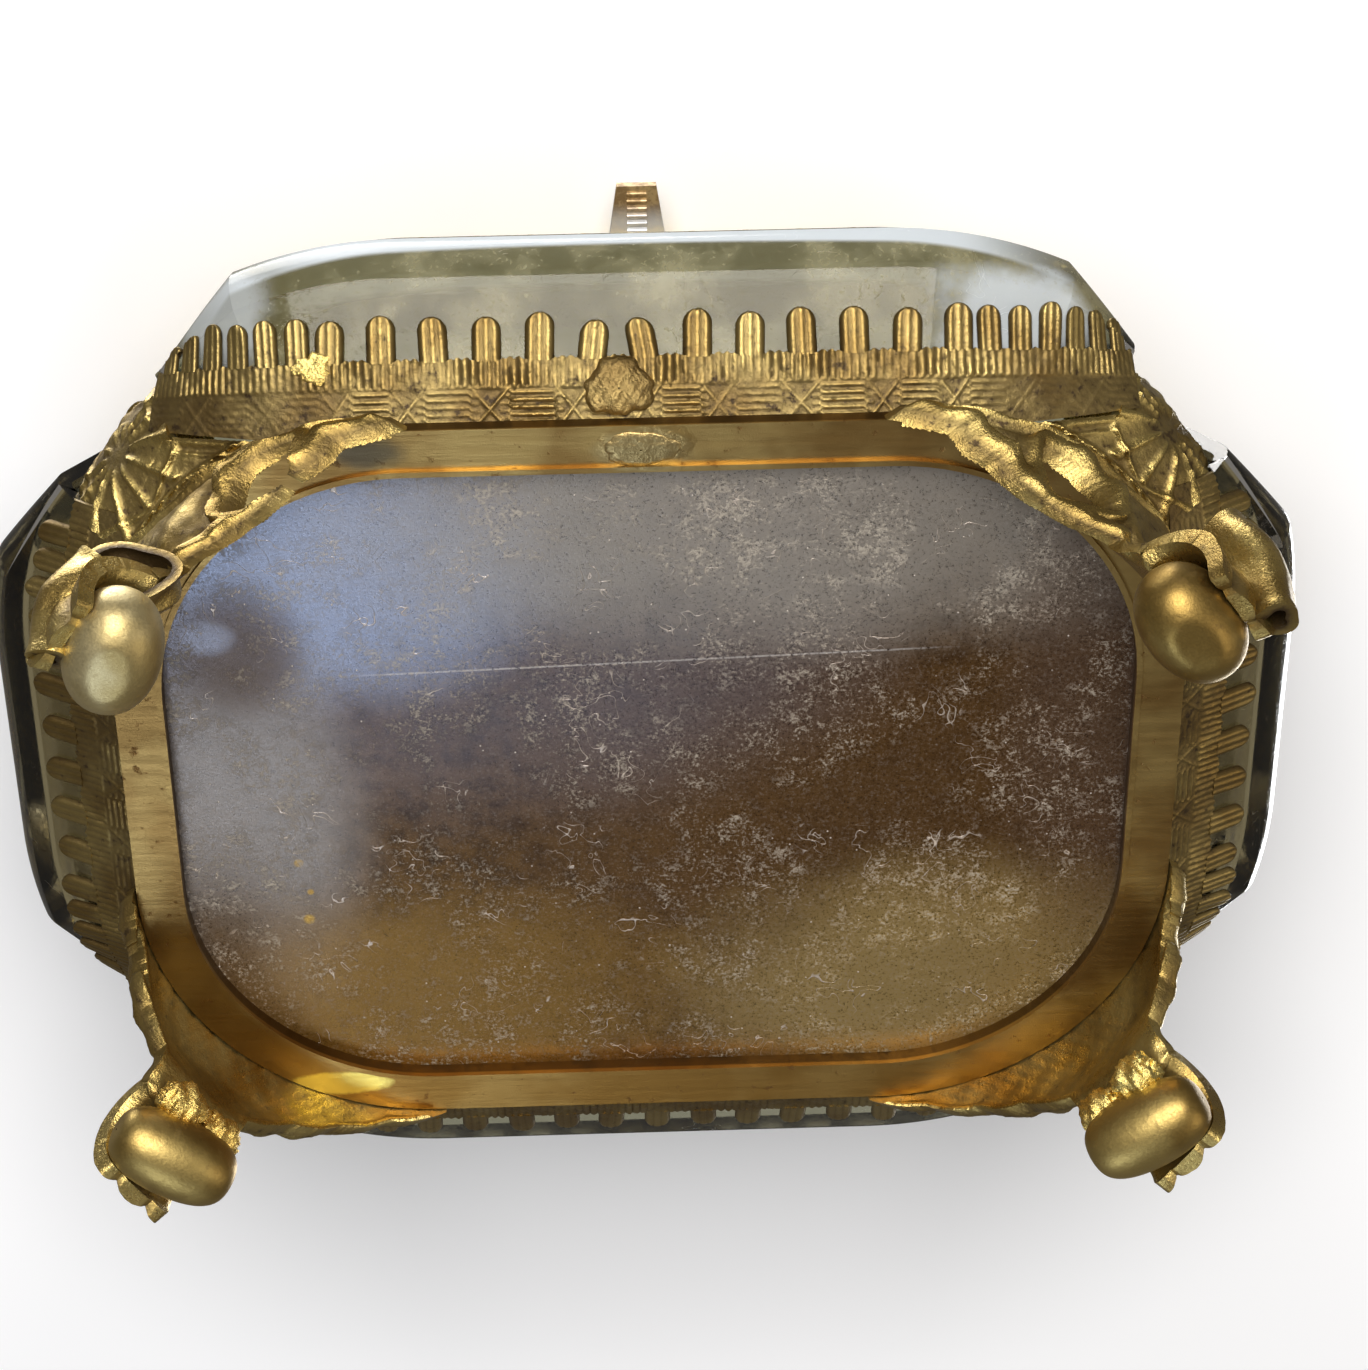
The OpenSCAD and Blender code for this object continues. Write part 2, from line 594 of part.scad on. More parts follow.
base_ring();
bottom_plate();
gallery("front");  // gallery_front
gallery("rear");  // gallery_rear
gallery("left");  // gallery_left
gallery("right");  // gallery_right
corner_mount(false, false);  // corner_mount_front_left
corner_mount(true, false);  // corner_mount_front_right
corner_mount(false, true);  // corner_mount_rear_left
corner_mount(true, true);  // corner_mount_rear_right
foot(false, false);  // foot_front_left
foot(true, false);  // foot_front_right
foot(false, true);  // foot_rear_left
foot(true, true);  // foot_rear_right
foot_ball(false, false);  // foot_ball_front_left
foot_ball(true, false);  // foot_ball_front_right
foot_ball(false, true);  // foot_ball_rear_left
foot_ball(true, true);  // foot_ball_rear_right
panel("front");  // glass_front
panel("rear");  // glass_rear
panel("left");  // glass_left
panel("right");  // glass_right
upper_rim();
gallery_upper("front");  // gallery_upper_front
gallery_upper("rear");  // gallery_upper_rear
gallery_upper("left");  // gallery_upper_left
gallery_upper("right");  // gallery_upper_right
lid_frame();
lid_gallery();
lid_glass();
thumb_tab();
hinge_knuckles_body();
hinge_knuckle_lid();
hinge_pin();
cushion();
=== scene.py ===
# %% [markdown]
# # A bevelled glass casket on claw feet
# This small trinket casket has four bent glass panels held between a flat base ring and an
# upper rim, with a hinged glass lid, a tinned bottom plate and four claw feet of cast brass.
# The CAD model already fixes every size and every joint. Here each visible surface gets its
# real detail and finish: reliefs and castings as numpy grids, finishes as shader nodes.
# Lengths in the lesson are millimetres; they become metres when a mesh is made.

import bpy
import numpy as np
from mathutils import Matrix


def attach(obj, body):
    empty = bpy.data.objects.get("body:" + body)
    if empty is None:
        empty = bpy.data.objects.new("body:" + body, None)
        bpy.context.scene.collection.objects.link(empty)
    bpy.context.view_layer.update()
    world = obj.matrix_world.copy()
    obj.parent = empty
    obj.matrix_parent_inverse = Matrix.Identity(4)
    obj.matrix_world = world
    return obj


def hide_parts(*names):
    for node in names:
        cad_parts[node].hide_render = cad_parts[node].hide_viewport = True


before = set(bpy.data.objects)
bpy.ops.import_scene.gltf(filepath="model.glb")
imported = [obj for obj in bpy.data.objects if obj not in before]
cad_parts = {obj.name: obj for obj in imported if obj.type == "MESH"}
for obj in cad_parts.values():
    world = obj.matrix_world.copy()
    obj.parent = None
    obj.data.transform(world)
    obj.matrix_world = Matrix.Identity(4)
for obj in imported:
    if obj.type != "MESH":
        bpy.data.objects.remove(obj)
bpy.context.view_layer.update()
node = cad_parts

# %% [markdown]
# ## The camera
# The casket is seen from below: the camera stands under the table's level, in front of the
# box, and looks up at the underside. A camera looks along its own -Z with +Y up, so three
# directions are enough to place it. The lamps are placed in the same way further on, so both
# use the helpers of this cell.

# %% The camera
scene = bpy.context.scene


def added(name, data):
    """A new object that holds this data, linked to the scene."""
    made = bpy.data.objects.new(name, data)
    scene.collection.objects.link(made)
    return made


def stand(made, right, up, back, place):
    """Places an object by its X, Y and Z directions and its position, in metres."""
    pose = np.eye(4)
    pose[:3, 0], pose[:3, 1], pose[:3, 2], pose[:3, 3] = right, up, back, place
    made.matrix_world = pose.T.tolist()


EYE, LENS_MM, NEAREST = (-0.00494, -0.2006, -0.2658), 88.93, 0.01
forward = np.array([0.0240, 0.5437, 0.8390])
upward = np.array([0.0260, -0.8392, 0.5431])
camera = added("camera", bpy.data.cameras.new("camera"))
stand(camera, np.cross(forward, upward), upward, -forward, EYE)
camera.data.lens, camera.data.clip_start = LENS_MM, NEAREST
scene.camera = camera
print("camera at", EYE, "with a lens of", LENS_MM, "mm")

# %% [markdown]
# ## Making meshes from grids
# Almost every piece here is a rectangle of points, bent into place by a formula. Two helpers
# turn such a grid into a mesh: one lists its quads, one closes a front and a back into a
# solid. A closed mesh whose volume comes out negative is inside out, so it is turned round.
# Modelling by hand would be slower, and a formula keeps every piece on the casket's own sizes.

# %% Quads of a grid
def quads(rows, columns, ring=False, first=0):
    """Corner numbers of the quads of a grid; with ring, the last row joins the first."""
    i, j = np.meshgrid(np.arange(rows if ring else rows - 1), np.arange(columns - 1), indexing="ij")
    i, j = i.ravel(), j.ravel()
    k = (i + 1) % rows
    return first + np.stack([i * columns + j, k * columns + j, k * columns + j + 1,
                             i * columns + j + 1], -1)


print("a 3 x 3 grid has", len(quads(3, 3)), "quads")

# %% Closed solids
def volume(points, faces):
    """Six times the signed volume: the sum of p0 . (p1 x p2) over two triangles a quad."""
    p = points[faces]
    return sum(np.einsum("ij,ij->i", p[:, 0], np.cross(p[:, a], p[:, a + 1])).sum() for a in (1, 2))


def outward_faces(points, faces):
    """The faces as they are, or each turned round when the volume comes out negative."""
    return faces if volume(points, faces) > 0 else faces[:, ::-1]


def open_edges(faces):
    """Edges that only one face uses, in the direction in which that face uses them."""
    edges = np.concatenate([faces[:, [k, (k + 1) % 4]] for k in range(4)])
    edges = edges[edges[:, 0] != edges[:, 1]]
    size = int(faces.max()) + 1
    there, back = edges[:, 0] * size + edges[:, 1], edges[:, 1] * size + edges[:, 0]
    return edges[~np.isin(there, back)]


def walled(front, back, faces):
    """A solid from two skins with the same faces: front, back reversed, and a wall on each edge."""
    n = len(front)
    rim = open_edges(faces)
    wall = np.stack([rim[:, 1], rim[:, 0], rim[:, 0] + n, rim[:, 1] + n], -1)
    points = np.concatenate([front, back])
    return points, outward_faces(points, np.concatenate([faces, faces[:, ::-1] + n, wall]))


def joined(solids):
    """One mesh of several walled grids (front, back, quads, how hollow each front point is);
    a back is all hollow, so it is painted dark with dirt and painted shade."""
    points, faces, hollow, count = [], [], [], 0
    for front, back, net, deep in solids:
        p, f = walled(front.reshape(-1, 3), back.reshape(-1, 3), net)
        points.append(p)
        faces.append(f + count)
        hollow.append(np.concatenate([deep.ravel(), np.ones(deep.size)]))
        count += len(p)
    return np.concatenate(points), np.concatenate(faces), np.concatenate(hollow)


print("a 3 x 3 grid has", len(open_edges(quads(3, 3))), "open edges, a closed solid none")

# %% A mesh object, and paint for a CAD node
MM, METRES = 1000.0, 0.001     # millimetres in a metre, metres in a millimetre


def piece(name, points, faces, finish, slot, body="casket", sharp=40, stands_for=(), **fields):
    """Makes a mesh object of points in millimetres, with one number a point for each field."""
    points = np.asarray(points, float).reshape(-1, 3)
    mesh = bpy.data.meshes.new(name)
    mesh.from_pydata((points * METRES).tolist(), [], np.asarray(faces).tolist())
    mesh.validate()
    mesh.shade_smooth()
    mesh.set_sharp_from_angle(angle=np.radians(sharp))
    for field, values in fields.items():
        layer = mesh.attributes.new(field, "FLOAT", "POINT")
        layer.data.foreach_set("value", np.asarray(values, np.float32).ravel())
    mesh.materials.append(finish)
    made = added(name, mesh)
    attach(made, body)
    if stands_for:
        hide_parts(*stands_for)
    print(f"{name}: {len(mesh.polygons)} faces")
    return made


def paint_node(name, finish):
    """A CAD node that stays as it is gets a finish in place of its plain colour."""
    node[name].data.materials.clear()
    node[name].data.materials.append(finish)


print("1 mm is", METRES, "m")

# %% [markdown]
# ## Writing shaders as maths
# A material is a graph of nodes. Wrapping a socket in a small class lets a line such as
# `dirt * 0.4 + 0.1` add the Math nodes by itself, which reads far better than the graph.

# %% A socket with arithmetic
class Wire:
    """One output socket; maths on it adds Math nodes."""

    def __init__(self, paint, socket):
        self.paint, self.socket = paint, socket

    def math(self, operation, *others):
        return self.paint.add("Math", dict(enumerate([self, *others])), operation=operation)

    def __add__(self, other): return self.math("ADD", other)
    def __mul__(self, other): return self.math("MULTIPLY", other)
    def __sub__(self, other): return self.math("SUBTRACT", other)
    def __rsub__(self, other): return self.math("MULTIPLY_ADD", -1.0, other)
    def __truediv__(self, other): return self.math("DIVIDE", other)
    def __pow__(self, other): return self.math("POWER", other)
    def __abs__(self): return self.math("ABSOLUTE")
    __radd__, __rmul__ = __add__, __mul__

    def step(self, low, high, to_low=0.0, to_high=1.0):
        """Runs smoothly from to_low to to_high as the value runs from low to high."""
        return self.paint.add("MapRange", {0: self, 1: low, 2: high, 3: to_low, 4: to_high},
                              interpolation_type="SMOOTHSTEP")


print("a wire has", sum(callable(method) for method in vars(Wire).values()), "methods")

# %% A material and its patterns
class Paint:
    """A material or a world, its nodes, and the patterns that the finishes share."""

    def __init__(self, name, world=None):
        self.owner = world or bpy.data.materials.new(name)
        self.owner.use_nodes = True
        self.nodes, self.links = self.owner.node_tree.nodes, self.owner.node_tree.links
        self.nodes.clear()
        self.place = self.add("TexCoord", out="Object")

    def add(self, kind, sockets=None, out=0, stops=None, **settings):
        """Adds a node: settings and a ramp's stops first, then its sockets' values or wires."""
        made = self.nodes.new("ShaderNode" + kind)
        for key, value in settings.items():
            setattr(made, key, value)
        if stops:
            ramp = made.color_ramp.elements
            while len(ramp) < len(stops):
                ramp.new(0.5)
            for stop, (position, colour) in zip(ramp, stops):
                stop.position, stop.color = position, (*colour, 1)
        for key, value in (sockets or {}).items():
            if isinstance(value, Wire):
                self.links.new(value.socket, made.inputs[key])
            else:
                made.inputs[key].default_value = value
        return Wire(self, made.outputs[out])

    def noise(self, per_mm, detail=4.0, roughness=0.55, distortion=0.0, stretch=(1, 1, 1),
              at=(0, 0, 0)):
        """Noise of about per_mm bumps a millimetre, stretched along the axes."""
        where = self.add("Mapping", {0: self.place, 1: at, 3: tuple(MM * s for s in stretch)})
        return self.add("TexNoise", {"Vector": where, "Scale": per_mm, "Detail": detail,
                                     "Roughness": roughness, "Distortion": distortion})

    def cells(self, per_mm):
        """Distance to the nearest of about per_mm scattered points a millimetre."""
        where = self.add("Mapping", {0: self.place, 3: (MM, MM, MM)})
        return self.add("TexVoronoi", {"Vector": where, "Scale": per_mm, "Randomness": 1.0},
                        feature="F1")

    def axis(self, name):
        """One of the object's own coordinates, in millimetres."""
        return self.add("SeparateXYZ", {0: self.place}, out=name) * MM

    def oval(self, u, v, middle_u, middle_v, wide, high):
        """Squared distance from a middle, 1 on the edge of an ellipse of these half sizes."""
        return ((u - middle_u) / wide) ** 2.0 + ((v - middle_v) / high) ** 2.0

    def field(self, name):
        """A number that each point of the mesh carries."""
        return self.add("Attribute", out="Fac", attribute_name=name)

    def mix(self, factor, a, b):
        """Colour a where the factor is 0 and b where it is 1; either may be a wire."""
        a, b = (c if isinstance(c, Wire) else (*c, 1) for c in (a, b))
        return self.add("Mix", {0: factor, 6: a, 7: b}, out=2, data_type="RGBA")

    def bump(self, height, depth_mm, strength=1.0):
        """A normal tilted by the slope of height x depth."""
        return self.add("Bump", {"Height": height, "Distance": depth_mm / MM, "Strength": strength})

    def finish(self, shader, output="OutputMaterial"):
        """Joins the shader to the output, and gives back the material or world."""
        last = self.nodes.new("ShaderNode" + output)
        self.links.new(shader.socket, last.inputs[0])
        return self.owner


print("a paint can", ", ".join(n for n in vars(Paint) if not n.startswith("_")))

# %% [markdown]
# ## Old gilt brass
# The brass was gilded, then rubbed for a century: crests are bright and smooth, hollows keep
# brown dirt and painted shade, and the tone wanders from lemon to orange. One colour would look
# like new paint, and a painted image would have to be drawn for every piece, so noise does the
# wandering. A point field named `hollow`, stored with each mesh, says how deep a point lies in
# the relief, so dirt and painted shade gather in the recesses.

# %% Brass finishes
def brass(name, bright, deep, dirt_and_shade_colour, rough, grain=0.03, lumps=0.06, spread=0.5, relief=True):
    """Metal whose tone follows wide clouds, whose dirt follows spots, and whose dirt and painted
    shade follow the hollow field.
    """
    p = Paint(name)
    clouds = p.noise(0.11, 3, 0.5).step(0.38, 0.62)
    spots = p.noise(0.8, 5, 0.65)
    grains = p.noise(5.0, 3, 0.6)
    dirt_and_painted_shade = spots.step(0.56, 0.74) * spread
    if relief:
        # Painted shade with the dirt: the hollow field darkens the recesses.
        dirt_and_painted_shade = dirt_and_painted_shade + p.field("hollow") * (spots * 0.9 + 0.25)
    dirt_and_painted_shade = dirt_and_painted_shade.math("MINIMUM", 1.0)
    tone = p.mix(clouds, bright, deep)
    colour = p.mix(dirt_and_painted_shade, tone, dirt_and_shade_colour)
    roughness = grains.step(0.3, 0.7, *rough) + dirt_and_painted_shade * 0.22
    height = spots * lumps + grains * grain
    return p.finish(p.add("BsdfPrincipled", {
        "Base Color": colour, "Metallic": dirt_and_painted_shade * -0.35 + 1.0, "Roughness": roughness,
        "Normal": p.bump(height, 1.0)}))


GOLD, AMBER, UMBER = (0.60, 0.455, 0.16), (0.38, 0.26, 0.078), (0.070, 0.043, 0.015)
cast_brass = brass("cast_brass", GOLD, AMBER, UMBER, (0.23, 0.38), grain=0.05, lumps=0.18)
strip_brass = brass("stamped_brass", (0.41, 0.305, 0.112), (0.25, 0.165, 0.052),
                    (0.05, 0.030, 0.012), (0.27, 0.42), grain=0.04, lumps=0.07, spread=0.5)
ball_brass = brass("ball_brass", (0.50, 0.37, 0.13), (0.31, 0.205, 0.06), (0.13, 0.078, 0.024),
                   (0.38, 0.50), grain=0.004, lumps=0.06, spread=0.5, relief=False)
# A paler copy of the ball brass, for the front left ball: a painted highlight.
ball_brass_painted_highlight = brass("ball_brass_painted_highlight", (0.70, 0.60, 0.34), (0.50, 0.39, 0.17), (0.24, 0.16, 0.06),
                   (0.42, 0.54), grain=0.004, lumps=0.06, spread=0.4, relief=False)
plain_brass = brass("plain_brass", GOLD, AMBER, (0.22, 0.12, 0.04), (0.20, 0.34), grain=0.02,
                    lumps=0.05, spread=0.35, relief=False)
joint_brass = brass("joint_brass", (0.42, 0.30, 0.115), (0.22, 0.145, 0.052),
                    (0.06, 0.036, 0.015), (0.30, 0.50), grain=0.10, lumps=0.30, spread=0.8,
                    relief=False)
solder = brass("solder", (0.92, 0.74, 0.26), (0.80, 0.56, 0.16), (0.34, 0.20, 0.06),
               (0.20, 0.42), grain=0.10, lumps=0.30, spread=0.3, relief=False)
print("seven brass finishes")

# %% [markdown]
# ## The ring's finish
# The flat ring was filed and polished by hand. Long streaks follow it, a lap joint shows as
# a tinned patch at the middle of the front, and a dark patch lies to the left of it. Its upright
# walls are darkened with painted shade. Its solid is already the right band, so all of this is
# paint: noise drawn out along x makes streaks, and each patch is an ellipse whose edge the same
# noise makes ragged.

# %% The ring's finish
def ring_finish():
    """Polished brass; each patch is a soft ellipse: the distance from its middle over its size."""
    p = Paint("ring_brass")
    x, y, z = p.axis("X"), p.axis("Y"), p.axis("Z")
    spots = p.noise(0.7, 5, 0.65)

    def patch(cx, cy, wide, deep, soft=0.35):
        """1 inside an ellipse, 0 outside, with the noise added to the distance."""
        far = p.oval(x, y, cx, cy, wide, deep) + (spots - 0.5) * 0.9
        return far.step(1.0 + soft, 1.0 - soft)

    clouds = p.noise(0.10, 3, 0.5, at=(7, 3, 0)).step(0.36, 0.64)
    streaks = p.noise(0.5, 4, 0.6, stretch=(0.25, 3, 1))
    grains = p.noise(6.0, 3, 0.6)
    tone = p.mix(clouds, (0.52, 0.36, 0.13), (0.31, 0.185, 0.058))
    for share, colour in (
            (x.step(-38.0, -50.0) * 0.55, (0.21, 0.13, 0.045)),             # browner at the left
            (y.step(26.0, 42.0) * 0.6, (0.36, 0.18, 0.032)),                # orange at the rear
            (spots.step(0.60, 0.72) * 0.8, (0.22, 0.11, 0.035)),            # brown spots
            (patch(-0.5, -40.0, 4.4, 2.2, 0.7) * 0.8, (0.46, 0.36, 0.17)),  # the lap joint
            (patch(-27.5, -40.3, 3.4, 1.7, 0.9) * 0.85, (0.10, 0.088, 0.062)),  # a dark patch
            (patch(-35.0, 38.6, 5.4, 1.5), (1.0, 0.80, 0.20)),              # a bright rub
            # painted shade: the ring's upright walls are darkened as if shadowed between ring and
            # plate
            (z.step(24.55, 24.8) * 0.85, (0.10, 0.062, 0.026))):            # the upright walls
        tone = p.mix(share, tone, colour)
    roughness = (grains * 0.5 + streaks * 0.5).step(0.3, 0.7, 0.30, 0.46)
    pits, joint = spots.step(0.62, 0.8), patch(0.0, -40.6, 4.2, 2.3)
    height = streaks * 0.05 + grains * 0.015 + pits * -0.05 + joint * (spots * 0.25)
    return p.finish(p.add("BsdfPrincipled", {
        "Base Color": tone, "Metallic": 1.0, "Roughness": roughness,
        "Normal": p.bump(height, 1.0)}))


ring_brass = ring_finish()
paint_node("base_ring", ring_brass)
print("ring painted")

# %% [markdown]
# ## The tinned plate
# The bottom plate is sheet iron dipped in tin. Its tin has gone dull in clouds: chocolate brown
# across the middle, olive in two corners. One side is painted blue-grey and bright, a painted
# reflection, and painted reflection lies in part in the brown middle and an olive corner too. On
# top lie pale crusts of oxide, dust, hair-thin scratches and a few stray fibres, and a rim of
# painted shade along the edge. The plate is flat, so it needs paint and a fine bump, and the
# paint is laid in the order in which it came: first the tin's own stains with the painted
# reflection, then speckle and crust, then what fell on it.

# %% The tin's stains and painted reflection
def stains_and_painted_reflection(p, x, y, wander, mottle):
    """Two browns by the mottle, then soft ellipses whose edges wander, one mixed over another; some
    are painted reflection.
    """
    # The blue side and its dull edge are painted reflection; the warm middle and the olive corner
    # are tarnish with painted reflection in them.
    stains_and_reflections = {"warm middle with painted reflection": (26, 8, 34, 26, 0.7, (0.120, 0.056, 0.013)),
              "painted blue reflection": (-33, -26, 20, 13, 0.95, (0.44, 0.52, 0.72)),
              "painted reflection's dull edge": (-20, -20, 36, 20, 0.45, (0.20, 0.20, 0.25)),
              "grey front": (18, -31, 44, 13, 0.8, (0.42, 0.38, 0.33)),
              "grey left": (-43, 6, 11, 22, 0.85, (0.30, 0.27, 0.25)),
              "ochre corner": (-26, 29, 28, 13, 0.8, (0.25, 0.135, 0.024)),
              "olive corner with painted reflection": (34, 28, 26, 14, 0.85, (0.42, 0.29, 0.105)),
              "brown right": (47, -8, 9, 26, 0.6, (0.13, 0.078, 0.050)),
              "dark spot": (-42, -17, 6, 7, 0.8, (0.085, 0.050, 0.028)),
              "light in it": (-45, -18.5, 2.4, 1.8, 0.8, (0.30, 0.31, 0.38))}
    tone = p.mix(mottle.step(0.32, 0.68), (0.135, 0.068, 0.018), (0.046, 0.021, 0.006))
    for cx, cy, wide, deep, share, colour in stains_and_reflections.values():
        far = p.oval(x, y, cx, cy, wide, deep) + (wander - 0.5) * 1.1 + (mottle - 0.5) * 0.5
        tone = p.mix(far.step(2.1, 0.05) * share, tone, colour)
    print(len(stains_and_reflections), "stains on the tin")
    return tone


# %% The tinned plate
def plate_finish():
    """Crusts from noise, dust from cells; a fibre is the thin line along which a noise crosses
    one half, kept only in a few places; a scratch is near zero distance from a slanting line."""
    p = Paint("tin_plate")
    x, y = p.axis("X"), p.axis("Y")
    wander = p.noise(0.055, 4, 0.6)
    mottle = p.noise(0.45, 6, 0.72)
    speckle = p.noise(3.2, 5, 0.75)
    rolled = p.noise(0.8, 4, 0.6, stretch=(0.03, 2.2, 1))
    tone = stains_and_painted_reflection(p, x, y, wander, mottle)
    tone = p.mix(speckle.step(0.50, 0.68) * 0.36, tone, (0.36, 0.31, 0.27))
    tone = p.mix(speckle.step(0.47, 0.30) * 0.65, tone, (0.022, 0.014, 0.012))
    crust_place = p.noise(0.09, 3, 0.6, at=(31, 12, 0)).step(0.42, 0.58)
    crust = (mottle * 0.4 + speckle * 0.6).step(0.51, 0.60) * crust_place
    tone = p.mix(crust * 0.60, tone, (0.50, 0.45, 0.37))
    dust = p.cells(0.75).step(0.10, 0.045) * p.noise(0.3, 2).step(0.45, 0.6)
    tone = p.mix(dust * 0.8, tone, (0.75, 0.68, 0.62))
    thread = abs(p.noise(0.33, 1.5, 0.5, 0.9, at=(3, 9, 0)) - 0.5).step(0.009, 0.003)
    thread = thread * p.noise(0.16, 2, at=(60, 5, 0)).step(0.55, 0.62)
    tone = p.mix(thread * 0.85, tone, (0.68, 0.58, 0.50))
    scratch = abs(y + x * 0.028 + 14.4).step(0.16, 0.04)
    scratch = scratch * (abs(x) - 6.0).step(27, 18) * speckle.step(0.36, 0.52)
    tone = p.mix(scratch * 0.7, tone, (0.66, 0.60, 0.56))
    drops = sum(p.oval(x, y, dx, dy, r, r).step(2.4, 0.1) for dx, dy, r in (
        (-37.6, 9.8, 0.42), (-37.0, 17.2, 0.5), (-36.6, 13.6, 0.3)))
    tone = p.mix(drops * mottle.step(0.35, 0.55) * 0.8, tone, (0.62, 0.38, 0.07))
    # Painted shade: a dark rim along the plate's edge, where it meets the ring.
    edge = (abs(x) / 50.0) ** 8.0 + (abs(y) / 38.2) ** 8.0
    tone = p.mix(edge.step(0.75, 1.25) * 0.85, tone, (0.028, 0.022, 0.022))
    roughness = speckle.step(0.3, 0.7, 0.24, 0.46) + crust * 0.22 + dust * 0.3
    height = rolled * 0.035 + speckle * 0.05 + crust * 0.03 + dust * 0.08 + thread * 0.05
    return p.finish(p.add("BsdfPrincipled", {
        "Base Color": tone, "Metallic": crust * -0.5 - dust * 0.4 + 0.70, "Roughness": roughness,
        "Normal": p.bump(height, 1.0, 0.7)}))


paint_node("bottom_plate", plate_finish())
print("tin plate painted")

# %% [markdown]
# ## Glass
# Old plate glass is a little grey-green, and its edges were ground, so the light that comes
# through is slightly dulled. A clear dielectric does the work; a faint tint and dust do the
# rest. Fine scratches are a bump too small to blur what lies behind. On the upright panes the
# sides are tinted brown. On the front one a diffuse shader, mixed over the clear one by a mask,
# paints reflections: pale blue-white clouds and a pale belt over a painted olive reflection.

# %% Glass
def glass_finish(name, upright):
    """Clear glass with a film; on the upright panes also the sides' brown and, on the front,
    painted reflection. The pale belt of painted reflection follows the grinding line z = 40.6 - (x
    / 30)^2."""
    p = Paint(name)
    film = p.noise(0.10, 4, 0.6).step(0.35, 0.70)
    dusty = p.noise(2.2, 5, 0.75).step(0.52, 0.72)
    speck = p.noise(0.32, 5, 0.72, at=(3, 9, 1))
    tint = p.mix(film, (0.78, 0.82, 0.78), (0.62, 0.66, 0.59))
    x, y, z = p.axis("X"), p.axis("Y"), p.axis("Z")
    front = y.step(-44.0, -48.0)
    if upright:
        at_sides = (abs(x) - abs(y)).step(2.0, 8.0)
        tint = p.mix(at_sides * 0.9, tint, (0.50, 0.44, 0.30))
        tint = p.mix(front * 0.8, tint, (0.76, 0.72, 0.46))
    hairline = abs(p.noise(0.30, 1.0, 0.5, 0.6, at=(5, 2, 8)) - 0.5).step(0.005, 0.001)
    hairline = hairline * p.noise(0.15, 2, at=(11, 4, 0)).step(0.58, 0.64)
    tint = p.mix(hairline * 0.6, tint, (1.0, 1.0, 1.0))
    clear = p.add("BsdfPrincipled", {
        "Base Color": tint, "Roughness": dusty * 0.10 + hairline * 0.4 + 0.015, "IOR": 1.5,
        "Specular IOR Level": 0.25, "Transmission Weight": 1.0,
        "Normal": p.bump(dusty * 0.3 + hairline, 0.03, 0.5)})
    if not upright:
        return p.finish(clear)

    def cloud(cx, cz, wide, high):
        """An ellipse of painted reflection on the front, made ragged by the film and the dust."""
        far = p.oval(x, z, cx, cz, wide, high) + (film - 0.5) * 0.9 + (dusty - 0.3) * 0.4
        return far.step(1.6, 0.2)

    # Painted reflection: the belt and the clouds are pale blue-white, the rest of the front's
    # diffuse layer an olive tone.
    belt = abs(z - 40.6 + (x / 30.0) ** 2.0).step(3.9, 3.1) * abs(x).step(46.0, 30.0)
    reflection_mask = cloud(42.0, 31.5, 13.0, 3.6) * 0.8 + cloud(-44.0, 33.0, 6.0, 5.0) * 0.6 + belt
    reflection_mask = reflection_mask.math("MINIMUM", 1.0)
    olive = (film * 0.6 + dusty * 0.5 + (speck - 0.5) * 0.8).step(0.05, 0.75)
    olive = p.mix(olive, (0.150, 0.130, 0.050), (0.46, 0.42, 0.24))
    painted_reflection_layer = p.add("BsdfPrincipled", {"Base Color": p.mix(reflection_mask, olive, (0.72, 0.79, 0.86)),
                                    "Roughness": 0.8, "Specular IOR Level": 0.1})
    share = (reflection_mask * 0.32 + 0.46) * front
    return p.finish(p.add("MixShader", {0: share, 1: clear, 2: painted_reflection_layer}))


glass, lid_pane = glass_finish("bevelled_glass", True), glass_finish("lid_pane", False)
print("two glasses mixed")

# %% [markdown]
# ## Silk
# The little mattress is covered in silk satin, olive-gold, creased where it was tufted. Satin
# floats most threads one way, so it shines across them. Real threads would be far too fine to
# model, so a soft sheen, slubs from stretched noise and a weave of two waves in the bump stand
# for them.

# %% Silk
def silk_finish():
    """Warp and weft are two sine waves in the bump; the tone follows wide folds and slubs."""
    p = Paint("silk_satin")
    folds = p.noise(0.10, 3, 0.55)
    threads = (p.axis("X") * 22.0).math("SINE") * 0.5 + (p.axis("Y") * 9.0).math("SINE") * 0.5
    slubs = p.noise(0.9, 4, 0.7, stretch=(0.15, 2.5, 1))
    tone = p.mix(folds.step(0.3, 0.7), (0.42, 0.36, 0.17), (0.26, 0.215, 0.085))
    tone = p.mix(slubs.step(0.5, 0.75) * 0.35, tone, (0.55, 0.50, 0.30))
    height = threads * 0.02 + slubs * 0.06
    return p.finish(p.add("BsdfPrincipled", {
        "Base Color": tone, "Roughness": slubs.step(0.3, 0.7, 0.34, 0.55), "Sheen Weight": 0.35,
        "Sheen Roughness": 0.35, "Normal": p.bump(height, 1.0, 0.6)}))


silk = silk_finish()
print("silk dyed")

# %% [markdown]
# ## The body's own geometry
# The box has four sides and four round corners. A point is given by how far round a side it
# lies, how far outside the ring's edge, and how high. The glass section is a broken line:
# a lower bevel, a rounded belly, a leaning field and a top bevel. Moving that line outwards
# by d moves each corner along its mitre, so one pair of arrays serves the glass and the strips.
# The strips and castings are cut square on to a view tilted by 57 degrees from the ring's
# plane: seen so, a point at radius r and height z stands r sin 57 + z cos 57 up.

